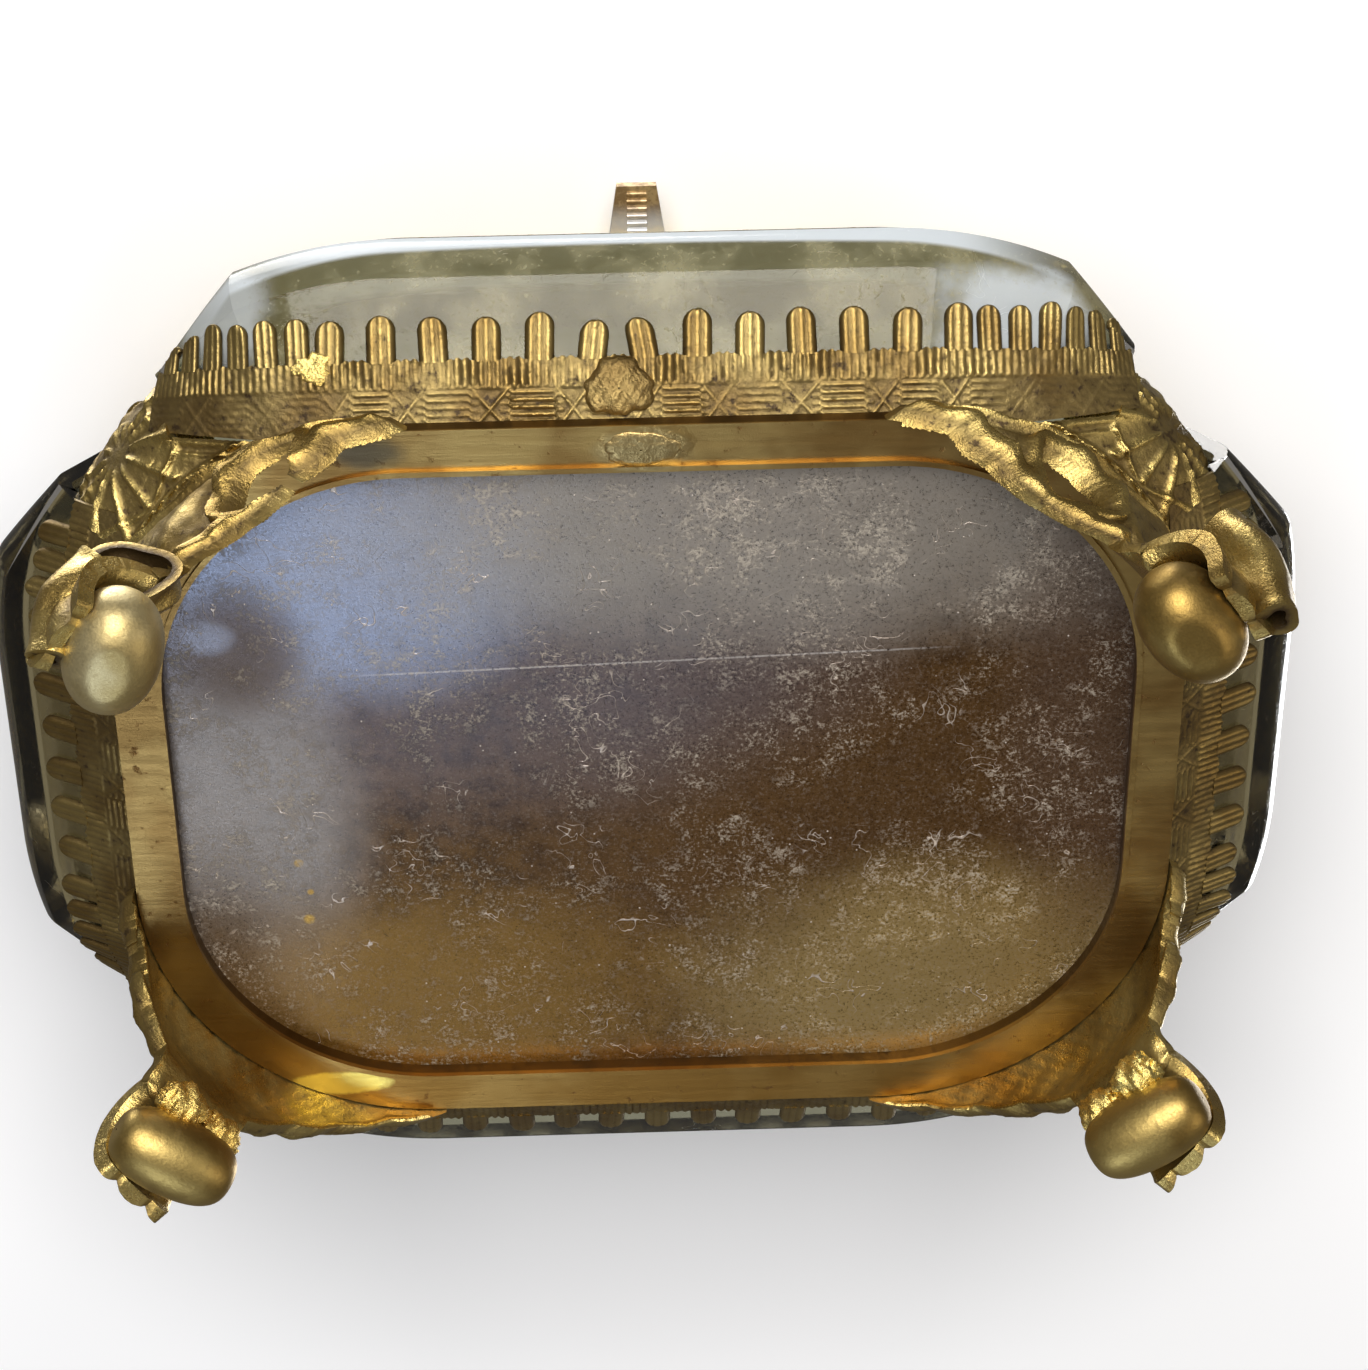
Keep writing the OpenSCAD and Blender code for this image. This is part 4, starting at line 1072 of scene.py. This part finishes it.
def cut_leaf(holes):
    """Grid over (seen x, place down the section). A quad stays where its middle lies inside the
    outline and outside the holes. Returns x, z, row, distance in from the edge, and quads."""
    x, rows, z_row = np.arange(-26.2, 18.9, LEAF_STEP), np.arange(FOOT_ROWS), foot_back[:, 1]
    X, K = (grid.ravel() for grid in np.meshgrid(x, rows, indexing="ij"))
    flat = np.stack([X, np.interp(K, rows, z_row)], -1)
    net = quads(len(x), len(rows))
    gap, near = gap_to(flat, OUTLINE)
    for hole in holes:
        g, n = gap_to(flat, hole)
        closer = -g > gap
        gap, near = np.where(closer, -g, gap), np.where(closer[:, None], n, near)
    snapped = (np.abs(gap) < SNAP * LEAF_STEP)[:, None]
    flat = np.where(snapped, near, flat)
    row = np.interp(-flat[:, 1], -z_row, rows)
    row = np.where(np.abs(row - K) > MOST_ROWS_MOVED, K, row)
    used, kept = np.unique(net[gap[net].mean(1) < 0], return_inverse=True)
    return flat[used, 0], flat[used, 1], row[used], -gap[used], kept.reshape(-1, 4)


def leaf_relief(x, z, rim_gap, seed):
    """A rolled ribbon along the edge, a groove beside it, and veins that spread from the ankle;
    below, a bead round the ankle and three toes."""
    fan, reach = np.arctan2(x, z + 13.5), np.hypot(x, z + 13.5)
    lumps = 0.5 + 0.5 * np.cos(reach * 1.5 + seed)
    ribbon = smooth(rim_gap, 0.0, 0.45) * smooth(rim_gap, 1.7, 1.1) * (0.70 + 0.35 * lumps)
    groove = -0.40 * bell(rim_gap - 1.95, 0.35)
    veins = 0.50 * (0.5 + 0.5 * np.cos(fan * 8.5)) ** 3 * smooth(reach, 2.0, 5.0)
    swell = 0.32 * np.cos(fan * 2.1) * smooth(rim_gap, 1.2, 3.5)
    leaf = ribbon * (z < 0.2) + groove + veins * (0.7 + 0.3 * lumps) + swell
    ankle = 0.50 * bell(z + 12.0, 0.7)
    toes = 0.85 * np.abs(np.cos(np.pi * 1.5 * x / ANKLE_HALF)) ** 0.7 + 0.35 * bell(z + 17.5, 1.6)
    h = smooth(z, -12.2, -9.5) * leaf + ankle + smooth(z, -12.5, -14.5) * (toes - 0.2)
    return h + 0.12 * ripple(x * 1.5, z * 1.5, seed + 20)


print("a leaf's grid has squares of", LEAF_STEP, "mm")


# %% The feet
def foot(right, rear, seed):
    """The leaf's sheet is bent round the corner: radius from the section, sin a = x / radius.
    Its front carries the relief, its back is dented, and its arms lean in."""
    holes = [SHORT_HOLE] + ([LONG_HOLE[right, rear]] if (right, rear) in LONG_HOLE else [])
    x, z, row, rim_gap, net = cut_leaf(holes)
    h = leaf_relief(x, z, rim_gap, seed)
    base, out = lerp_rows(row, foot_back), lerp_rows(row, foot_normal)
    lift = smooth(z, -12.5, -14.5) * 1.1 * smooth(np.abs(x), 4.4, 6.8)
    dimple = 0.55 * bell(x - 1.5, 2.4) * bell(z + 4.5, 2.0) \
        - 0.45 * bell(rim_gap - 0.4, 0.5) * (z < -1)
    dents = (0.14 * ripple(x, z, seed + 40) + dimple) * smooth(z, -12.2, -9.5)
    lean = ARM_LEAN[right, rear] * smooth(np.abs(x), 6.0, 13.0) * smooth(-z, 0.3, 6.0)
    skins = []
    for depth in (LEAF_T - 0.2 + h + lift, lift + dents):
        skin = base + out * depth[:, None]
        r = RING_R + skin[:, 0] - lean
        a = np.arcsin(np.clip(x / r, -0.98, 0.98)) + np.radians(FOOT_TURN)
        bent = np.stack([r * np.sin(a), -r * np.cos(a), skin[:, 1]], -1)
        skins.append(at_corner(bent, right, rear))
    points, faces = walled(*skins, net)
    points[:, 2] = np.maximum(points[:, 2], 0.0)
    back_hollow = np.clip(0.3 + 0.5 * ripple(x, z, seed) + dimple, 0, 1)
    where = corner_name(right, rear)
    return piece("claw_foot_" + where, points, faces, cast_brass, "cast_brass", sharp=50,
                 stands_for=("foot_" + where,),
                 hollow=np.concatenate([1 - smooth(h, 0.1, 0.75), back_hollow]))


for seed, (right, rear) in enumerate(CORNERS):
    foot(right, rear, seed)

# %% [markdown]
# ## The balls and their solder
# A smooth brass egg sits in each claw and takes the weight on a small worn flat. The rear
# balls were soldered again long ago, and two rough lobes of solder show behind each. An egg is
# a UV sphere that is longer one way, with its poles along that axis and its foot cut flat.
# The rear ones are longer, thinner, fuller at their ends and sit askew; the front left one is
# askew the other way, and its brass is painted paler: a painted highlight.

# %% An egg of points
corner_out, corner_along = np.array([*away(FOOT_TURN), 0]), np.array([*toward(FOOT_TURN), 0])
ball_middle = (RING_R + BALL_OUT) * corner_out + [0, 0, BALL_Z]


def egg(middle, axis, side_axis, half, radius, dents=0.0, seed=0, n=48, blunt=0.8):
    """Radius times cos(t)^blunt round the axis, half length times sin(t) along it, with dents
    from the uneven ripple."""
    t = np.radians(np.linspace(-89.9, 89.9, n))[None, :]
    a = np.linspace(0, 2 * np.pi, n, endpoint=False)[:, None]
    third = np.cross(axis, side_axis)
    bumpy = 1 + dents * ripple(t * 9 + np.cos(a) * 3, np.sin(a) * 6, seed)
    r = radius * np.cos(t) ** blunt * bumpy
    round_it = np.cos(a)[..., None] * side_axis + np.sin(a)[..., None] * third
    points = middle + r[..., None] * round_it + (half * np.sin(t) * bumpy)[..., None] * axis
    return points.reshape(-1, 3), quads(n, n, ring=True)


print("balls stand", round(float(np.hypot(*ball_middle[:2])), 1), "mm from the corners' middles")

# %% The balls and lumps of solder
for seed, (right, rear) in enumerate(CORNERS):
    where = corner_name(right, rear)
    skew = 0.35 if rear else (0.0 if right else -0.35)
    axis = (corner_along + skew * corner_out) / np.hypot(1, skew)
    square_on = (corner_out - skew * corner_along) / np.hypot(1, skew)
    points, faces = egg(ball_middle, axis, square_on, BALL_HALF + 0.3 * rear,
                        BALL_R - 0.5 * rear, blunt=0.55 if rear else 0.8)
    points = at_corner(points, right, rear)
    points[:, 2] = np.maximum(points[:, 2], 0.0)
    # The front left ball takes the paler copy: a painted highlight.
    piece("ball_" + where, points, outward_faces(points, faces),
          ball_brass if right or rear else ball_brass_painted_highlight, "ball_brass",
          stands_for=("foot_ball_" + where,))
    if rear:
        for number, shift in enumerate((-2.7, 2.7)):
            place = ball_middle - 3.1 * corner_out + shift * corner_along + [0, 0, 3.4]
            points, faces = egg(place, corner_along, corner_out, 2.6, 2.3, dents=0.22,
                                seed=seed * 2 + number, n=32)
            points = at_corner(points, right, rear)
            piece(f"solder_{where}_{number + 1}", points, outward_faces(points, faces), solder,
                  "cast_brass")

# %% [markdown]
# ## The hollow toes of the front feet
# On each front foot one toe is a rolled horn with an open end, which runs down past the ball.
# On the left one a shallow cup also opens upwards beside the ankle. A horn is a tube swept
# along a curve set by three points, with an inner wall and a thick, uneven lip. Blender's
# curve bevel makes such a tube too, but gives it no wall that thickens into a lip.

# %% Hollow toes
TURNS, STATIONS = 48, 40


def toe(name, right, stations, radii, seed, wall=0.75):
    """Centre line: the quadratic curve (1-t)^2 a + 2t(1-t) b + t^2 c. Each ring of points lies
    square to the curve, so its two directions come from cross products with the tangent."""
    a, b, c = (ball_middle + out * corner_out + side * corner_along + [0, 0, up]
               for out, side, up in stations)
    t = np.linspace(0, 1, STATIONS)[:, None]
    line = (1 - t) ** 2 * a + 2 * t * (1 - t) * b + t * t * c
    along = np.gradient(line, axis=0)
    along /= np.linalg.norm(along, axis=1)[:, None]
    one = np.cross(along, corner_out)
    one /= np.linalg.norm(one, axis=1)[:, None]
    two = np.cross(along, one)
    t, turn = t[:, 0], np.linspace(0, 2 * np.pi, TURNS, endpoint=False)[:, None]
    r = np.interp(t, np.linspace(0, 1, len(radii)), radii)
    uneven = 1 + 0.10 * np.sin(turn * 3 + seed) + 0.07 * np.sin(t * 9 + turn * 2)
    lip = 0.25 * bell(t, 0.06) + 0.25 * bell(1 - t, 0.06)
    ring = np.cos(turn)[..., None] * one + np.sin(turn)[..., None] * two
    skins = [line + ring * np.maximum(r * uneven + w, 0.12)[..., None] for w in (lip, -wall - lip)]
    skins = [at_corner(s.reshape(-1, 3), right, False) for s in skins]
    for s in skins:
        s[:, 2] = np.maximum(s[:, 2], 0.05)
    points, faces = walled(*skins, quads(TURNS, STATIONS, ring=True))
    # The inner wall gets a hollow of 1.7: dirt and painted shade inside the horn.
    outside = np.clip(0.15 + 0.2 * np.sin(turn * 3) + 0 * t, 0, 1).ravel()
    return piece(name, points, faces, cast_brass, "cast_brass", sharp=60,
                 hollow=np.concatenate([outside, np.full(outside.size, 1.7)]))


# Each station is (out from the ball's middle, along its axis, up).
toe("toe_cup_front_left", False, [(1.4, -4.6, 7.0), (-0.6, -1.6, 7.4), (-1.6, 0.4, 6.8)],
    (4.3, 3.9, 0.9), 2, wall=0.5)
toe("toe_front_left", False, [(4.2, -3.0, 7.4), (6.4, -0.4, 4.4), (4.8, 3.4, -1.2)],
    (2.0, 2.4, 1.9), 1)
toe("toe_front_right", True, [(5.4, 0.6, 10.5), (8.4, 1.4, 4.6), (6.9, 3.6, -1.6)],
    (3.0, 2.7, 2.2), 4)

# %% [markdown]
# ## Repairs in solder
# A thick lump bridges the strip's joint at the middle of the front, a bright smear marks an
# old repair to its left, and the ring's lap joint is tinned. Each is a disc of polar points
# laid on the surface that it sits on, highest in the middle, with an uneven edge: solder
# flows out and freezes in just such a shape. Under the strip's lower edge in front, a dark
# sheet paints the shadow in the slit, and two pale pink discs paint light showing through it.

# %% Solder on the strip and on the ring
SPOKES, RINGS, SUNK = 72, 26, 0.25


def blob(name, lay_at, x0, y0, wide, deep, high, rough, seed, finish=solder, ragged=1.0):
    """Height = high x sqrt(1 - rho^2.5) x (1 + ripple); the edge wanders with the angle."""
    rho = np.sin(np.linspace(0.02, 1, RINGS) * np.pi / 2)[None, :]
    a = np.linspace(0, 2 * np.pi, SPOKES, endpoint=False)[:, None]
    edge = 1 + ragged * (0.16 * np.sin(a * 3 + seed) + 0.10 * np.sin(a * 7 + seed * 2)
                         + 0.05 * np.sin(a * 13))
    x, y = x0 + wide * rho * edge * np.cos(a), y0 + deep * rho * edge * np.sin(a)
    h = high * np.sqrt(np.clip(1 - rho ** 2.5, 0, 1)) * (1 + rough * ripple(x * 3.1, y * 3.1, seed))
    skins = [lay_at(x, y, z).reshape(-1, 3) for z in (h, h * 0 - SUNK)]
    points, faces = walled(*skins, quads(SPOKES, RINGS, ring=True))
    return piece(name, points, faces, finish, "cast_brass", sharp=80)


def on_front_strip(x, w, h):
    """A place on the front strip: x along it, w up it, h out of it."""
    return lay("front", x, STRIP_W0 + w, 0.75 + h)


def on_ring(x, y, h):
    """A place on the ring's underside, h below it."""
    return np.stack([x, y, STAND_H - h], -1)


blob("solder_strip_joint", on_front_strip, -2.6, 4.9, 3.4, 2.9, 1.1, 0.24, 3, joint_brass, 0.5)
blob("solder_strip_repair", on_front_strip, -32.5, 7.4, 1.8, 1.5, 0.30, 0.5, 5)
blob("solder_ring_joint", on_ring, -0.6, -40.1, 3.7, 1.9, 0.26, 0.10, 8, ring_brass, 0.35)


# %% The slit's painted shadow and the painted light in it
def dull(name, per_mm, detail, rough, edges, first, second, **sockets):
    """A dull finish whose two colours follow a noise."""
    p = Paint(name)
    tone = p.mix(p.noise(per_mm, detail, rough).step(*edges), first, second)
    return p.finish(p.add("BsdfPrincipled", {"Base Color": tone, **sockets}))


# Painted light: pale pink where light shows through the slit. The dark finish after it paints the
# slit's shadow.
slit_light = dull("painted_slit_light", 1.4, 4, 0.7, (0.4, 0.6), (0.72, 0.60, 0.58), (0.30, 0.20, 0.17),
            Roughness=0.8)
dark = dull("gap_shadow", 1.1, 3, 0.6, (0.45, 0.6), (0.010, 0.007, 0.005), (0.035, 0.024, 0.014),
            **{"Roughness": 0.9, "Specular IOR Level": 0.1})
blob("painted_slit_light_1", on_front_strip, -4.6, 1.05, 3.4, 0.24, 0.14, 0.5, 2, slit_light)
blob("painted_slit_light_2", on_front_strip, 17.0, 1.05, 4.4, 0.22, 0.14, 0.5, 7, slit_light)
SLIT_FROM, SLIT_TO, SLIT_LOW, SLIT_T = -11, 27, 0.26, 1.3


def slit_shadow():
    """The strip stands a little off the ring at the front: a dark sheet paints the shadow in that
    gap, and its thickness is the root of half a sine wave, so it is widest in its middle."""
    x = np.linspace(SLIT_FROM, SLIT_TO, 160)[:, None]
    arch = np.clip(np.sin((x - SLIT_FROM) / (SLIT_TO - SLIT_FROM) * np.pi), 0, 1) ** 0.5
    thick = SLIT_T * arch * (0.85 + 0.25 * ripple(x * 2, x, 6)) + 0.03
    w = SLIT_LOW + thick * np.linspace(0, 1, 5)[None, :]
    skins = [on_front_strip(x, w, d).reshape(-1, 3) for d in (-0.02, -0.35)]
    points, faces = walled(*skins, quads(*w.shape))
    return piece("painted_shadow_in_slit", points, faces, dark, "cast_brass")


slit_shadow()

# %% [markdown]
# ## The parts that stay as they are
# Rim, lid and hinge are plain bands, tubes and pressed tongues, and their solids already have
# the right shape, so they only need a finish. The thumb tab is worn brass that turns silvery
# at its root, where it was tinned to the lid.

# %% Finishes for the CAD nodes that stay
def tab_finish():
    """Two browns by a noise, and a silvery tone where y runs from -48.2 to -45.2."""
    p = Paint("tab_brass")
    worn = p.noise(0.9, 5, 0.65)
    root = p.axis("Y").step(-48.2, -45.2)
    tone = p.mix(worn.step(0.4, 0.62), (0.52, 0.37, 0.18), (0.28, 0.18, 0.08))
    return p.finish(p.add("BsdfPrincipled", {
        "Base Color": p.mix(root * 0.85, tone, (0.72, 0.76, 0.80)), "Metallic": 0.55,
        "Roughness": worn.step(0.3, 0.7, 0.30, 0.45)}))


paint_node("lid_glass", lid_pane)
paint_node("thumb_tab", tab_finish())
PLAIN = ["upper_rim", "lid_frame", "lid_gallery", "hinge_knuckles_body", "hinge_knuckle_lid",
         "hinge_pin", *["gallery_upper_" + side for side in SIDES]]
for name in PLAIN:
    paint_node(name, plain_brass)
print(len(PLAIN) + 2, "nodes painted")

# %% [markdown]
# ## The silk pad
# The lining is a thin silk mattress on the bottom plate. The CAD holds its room as a plain
# solid; here a copy of that solid, drawn in a little, is blown up as cloth with its tufts and
# its underside held, so the silk swells between them. How far a point may move is capped.

# %% Tufts and creases
TUFTS = np.array([[0, 0], *[[x, y] for x in (-24, 24) for y in (-14, 14)],
                  [-46, 0], [46, 0], [0, 26], [0, -26]])
CREASES = [(0, k) for k in (1, 2, 3, 4)] + [(5, 1), (5, 2), (6, 3), (6, 4), (7, 2), (7, 4),
                                            (8, 1), (8, 3)]


def crease_gap(xy):
    """Distance from each point to the nearest straight crease between two tufts."""
    a = TUFTS[[i for i, _ in CREASES]].astype(float)
    d = TUFTS[[j for _, j in CREASES]] - a
    t = np.einsum("pkc,kc->pk", xy[:, None] - a, d) / (d ** 2).sum(1)
    return np.linalg.norm(xy[:, None] - a - np.clip(t, 0, 1)[..., None] * d, axis=-1).min(1)


def coordinates(mesh):
    """A mesh's points in metres, one row a point."""
    flat = np.empty(len(mesh.vertices) * 3)
    mesh.vertices.foreach_get("co", flat)
    return flat.reshape(-1, 3)


print(len(TUFTS), "tufts,", len(CREASES), "creases")

# %% The pad before it is blown up
PAD_FOOT, PAD_LIFT, SHRINK, VOXEL = 0.0270, 0.0002, [0.97, 0.965, 0.72], 0.0016


def plain_pad():
    """The cushion's solid drawn in to 97 % and 72 % high, and remeshed evenly."""
    mesh = node["cushion"].data.copy()
    foot_z = np.array([0, 0, PAD_FOOT])
    start = foot_z + [0, 0, PAD_LIFT] + (coordinates(mesh) - foot_z) * SHRINK
    mesh.vertices.foreach_set("co", start.ravel())
    pad = added("silk_pad", mesh)
    even = pad.modifiers.new("even", "REMESH")
    even.mode, even.voxel_size = "VOXEL", VOXEL
    bpy.context.view_layer.update()
    remeshed = pad.evaluated_get(bpy.context.evaluated_depsgraph_get())
    pad_mesh = bpy.data.meshes.new_from_object(remeshed)
    pad.modifiers.remove(even)
    pad.data = pad_mesh
    return pad


pad = plain_pad()
print("silk_pad starts with", len(pad.data.vertices), "points")

# %% Cloth under pressure
PRESSURE, LAST_FRAME, MOST_MOVED = 12.0, 20, 0.0022


def blown(pad, start, held_points):
    """Cloth without gravity, pushed out from inside, with some points held. A point that moves
    further than the cap is put back to it along its way."""
    pad.vertex_groups.new(name="held").add(held_points.tolist(), 1.0, "REPLACE")
    cloth = pad.modifiers.new("cloth", "CLOTH")
    cloth.settings.use_pressure, cloth.settings.uniform_pressure_force = True, PRESSURE
    cloth.settings.vertex_group_mass = "held"
    cloth.settings.effector_weights.gravity = 0.0
    cloth.settings.quality = 6
    for frame_number in range(1, LAST_FRAME + 1):
        scene.frame_set(frame_number)
    swollen = pad.evaluated_get(bpy.context.evaluated_depsgraph_get())
    ends = coordinates(swollen.data)
    pad.modifiers.remove(cloth)
    scene.frame_set(1)
    size = np.linalg.norm(ends - start, axis=1)[:, None]
    print("silk moved by up to", round(float(size.max() * MM), 2), "mm before the cap")
    return start + (ends - start) * np.minimum(1, MOST_MOVED / np.maximum(size, 1e-9))


print("a point of the silk may move", round(MOST_MOVED * MM, 1), "mm")

# %% The silk pad
TUFT_R, HELD_BELOW = 1.6, 0.0279
SIDE_LIMIT, LOWEST, HIGHEST = np.array([0.0490, 0.0369]), 0.0270, 0.0340


def silk_pad(pad):
    """The top swells by 0.75 mm between the tufts; a tuft is a dip of 2.2 mm x bell(distance /
    2.6 mm) and a crease one of 0.9 mm; then cloth with pressure swells it."""
    mesh = pad.data
    start = coordinates(mesh)
    away_mm = np.linalg.norm(start[:, None, :2] * MM - TUFTS, axis=-1).min(1)
    top = smooth(start[:, 2] * MM, 28.5, 31.0)
    dip = 2.2 * bell(away_mm, 2.6) + 0.9 * bell(crease_gap(start[:, :2] * MM), 1.9)
    start[:, 2] += METRES * top * (0.75 * smooth(away_mm, 2.0, 13.0) - dip)
    mesh.vertices.foreach_set("co", start.ravel())
    tufted = (away_mm < TUFT_R) & (top > 0.5)
    start = blown(pad, start, np.where(tufted | (start[:, 2] < HELD_BELOW))[0])
    start[:, :2] = np.clip(start[:, :2], -SIDE_LIMIT, SIDE_LIMIT)
    start[:, 2] = np.clip(start[:, 2], LOWEST, HIGHEST)
    mesh.vertices.foreach_set("co", start.ravel())
    mesh.shade_smooth()
    mesh.materials.clear()
    mesh.materials.append(silk)
    finer = pad.modifiers.new("finer", "SUBSURF")
    finer.levels = finer.render_levels = 1
    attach(pad, "casket")
    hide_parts("cushion")
    print("silk_pad:", len(mesh.polygons), "faces")


silk_pad(pad)

# %% [markdown]
# ## Light, floor and backdrop
# One big soft lamp lights the underside from the front, a weak one fills from the right, and
# a small bluish panel is mirrored in the bright corner of the tin plate. Two more light the
# box from above for the other views. Area lamps give broad highlights without hard edges,
# which is how old, rubbed metal looks best.

# %% Lamps
def lamp(name, place, look_at, size, power, colour):
    """A square area lamp whose -Z points at look_at."""
    data = bpy.data.lights.new(name, "AREA")
    data.shape, data.size, data.energy, data.color = "SQUARE", size, power, colour
    z = np.array(place, float) - look_at
    z /= np.linalg.norm(z)
    x = np.cross([0.1, 0.2, 1.0], z)
    x /= np.linalg.norm(x)
    stand(added(name, data), x, np.cross(z, x), z, place)


centre = np.array([0.0, 0.0, 0.035])
lamp("key", (-0.03, -0.48, -0.44), centre, 0.42, 5.2, (1.0, 0.97, 0.93))
lamp("side_fill", (0.50, 0.05, -0.30), centre, 0.30, 0.5, (1.0, 0.90, 0.76))
lamp("sky_panel", (-0.13, 0.27, -0.36), (-0.028, -0.02, 0.025), 0.17, 0.34, (0.74, 0.85, 1.0))
lamp("top_soft", (-0.25, -0.35, 0.75), centre, 0.5, 7.0, (1.0, 0.98, 0.95))
lamp("top_back", (0.35, 0.45, 0.55), centre, 0.4, 3.5, (0.95, 0.97, 1.0))
print("five lamps")

# %% [markdown]
# ## The world
# The camera sees plain white all round, and everything else is lit by a dim, warm room, so
# that brass and glass have something brown to show. A Mix Shader on Is Camera Ray keeps the
# two apart.

# %% The world
WHITE, ROOM_COLOUR, ROOM_STRENGTH = (1, 1, 1, 1), (0.50, 0.47, 0.43, 1), 0.34


def studio():
    """Share of white = 1 for a ray from the camera, 0 for every other ray."""
    p = Paint("studio", bpy.data.worlds.new("studio"))
    plain = p.add("Background", {"Color": WHITE, "Strength": 1.0})
    dim = p.add("Background", {"Color": ROOM_COLOUR, "Strength": ROOM_STRENGTH})
    seen_directly = p.add("LightPath", out="Is Camera Ray")
    return p.finish(p.add("MixShader", {0: seen_directly, 1: dim, 2: plain}), "OutputWorld")


scene.world = studio()
print("a white backdrop, and a room of strength", ROOM_STRENGTH)

# %% [markdown]
# ## The two floors
# The casket is shown lying on its lid on a pale table, so one floor stands at the lid's top,
# faces down, and is clear from behind. A second one lies under the feet for views from above.
# A floor has to show the soft shadow and still be white around it. Pale paint alone comes out
# grey, so a little glow is added to it: least where the shadow lies, more around it, and all
# white far away. The weak glow round the casket is painted shade that deepens its shadow. Both
# floors hide from every ray but the camera's and the glass's, so they don't light the casket.

# %% The two floors
FLOOR_HALF, FAR_WHITE = 0.9, (3.0, 30.0)


def floor_finish(name, glow):
    """Pale diffuse from the front, clear from behind; a little glow keeps the open floor white.
    Through the glass the floor is a dusky room, as old glass shows it."""
    p = Paint(name)
    body = p.add("BsdfDiffuse", {"Color": (0.85, 0.86, 0.89, 1)})
    reach = p.oval(p.axis("X"), p.axis("Y"), 0.0, 40.0, 95.0, 95.0)
    # Painted shade: near the casket the glow is weakest, so its shadow looks deeper.
    shaded = reach.step(0.35, 1.3, 1 - glow * 0.45, 1 - glow * 1.25)
    shaded = shaded * reach.step(*FAR_WHITE, 1.0, 0.0)
    white = p.add("Emission", {"Color": WHITE, "Strength": 1.0})
    nothing = p.add("BsdfTransparent", {"Color": (0, 0, 0, 1)})
    light = p.add("MixShader", {0: shaded, 1: white, 2: nothing})
    room = p.add("Emission", {"Color": (0.30, 0.275, 0.20, 1), "Strength": 1.0})
    both = p.add("MixShader", {0: p.add("LightPath", out="Is Transmission Ray"),
                               1: p.add("AddShader", {0: body, 1: light}), 2: room})
    behind = p.add("NewGeometry", out="Backfacing")
    return p.finish(p.add("MixShader", {0: behind, 1: both, 2: p.add("BsdfTransparent")}))


def floor(name, z, facing_up, glow):
    """One square, wound so that its front faces up or down."""
    r = FLOOR_HALF
    ring = [(-r, -r, z), (r, -r, z), (r, r, z), (-r, r, z)]
    mesh = bpy.data.meshes.new(name)
    mesh.from_pydata(ring, [], [(0, 1, 2, 3) if facing_up else (3, 2, 1, 0)])
    mesh.materials.append(floor_finish(name, glow))
    made = added(name, mesh)
    made.visible_diffuse = made.visible_glossy = made.visible_shadow = False


floor("table_under_lid", 0.0702, False, 0.21)
floor("floor_under_feet", -0.0002, True, 0.30)
print("two floors of", 2 * FLOOR_HALF, "m")

# %% [markdown]
# ## Last of all
# The Standard view shows each colour as it was written. The detail must not make the casket
# any bigger.

# %% The last lines
scene.view_settings.view_transform = "Standard"
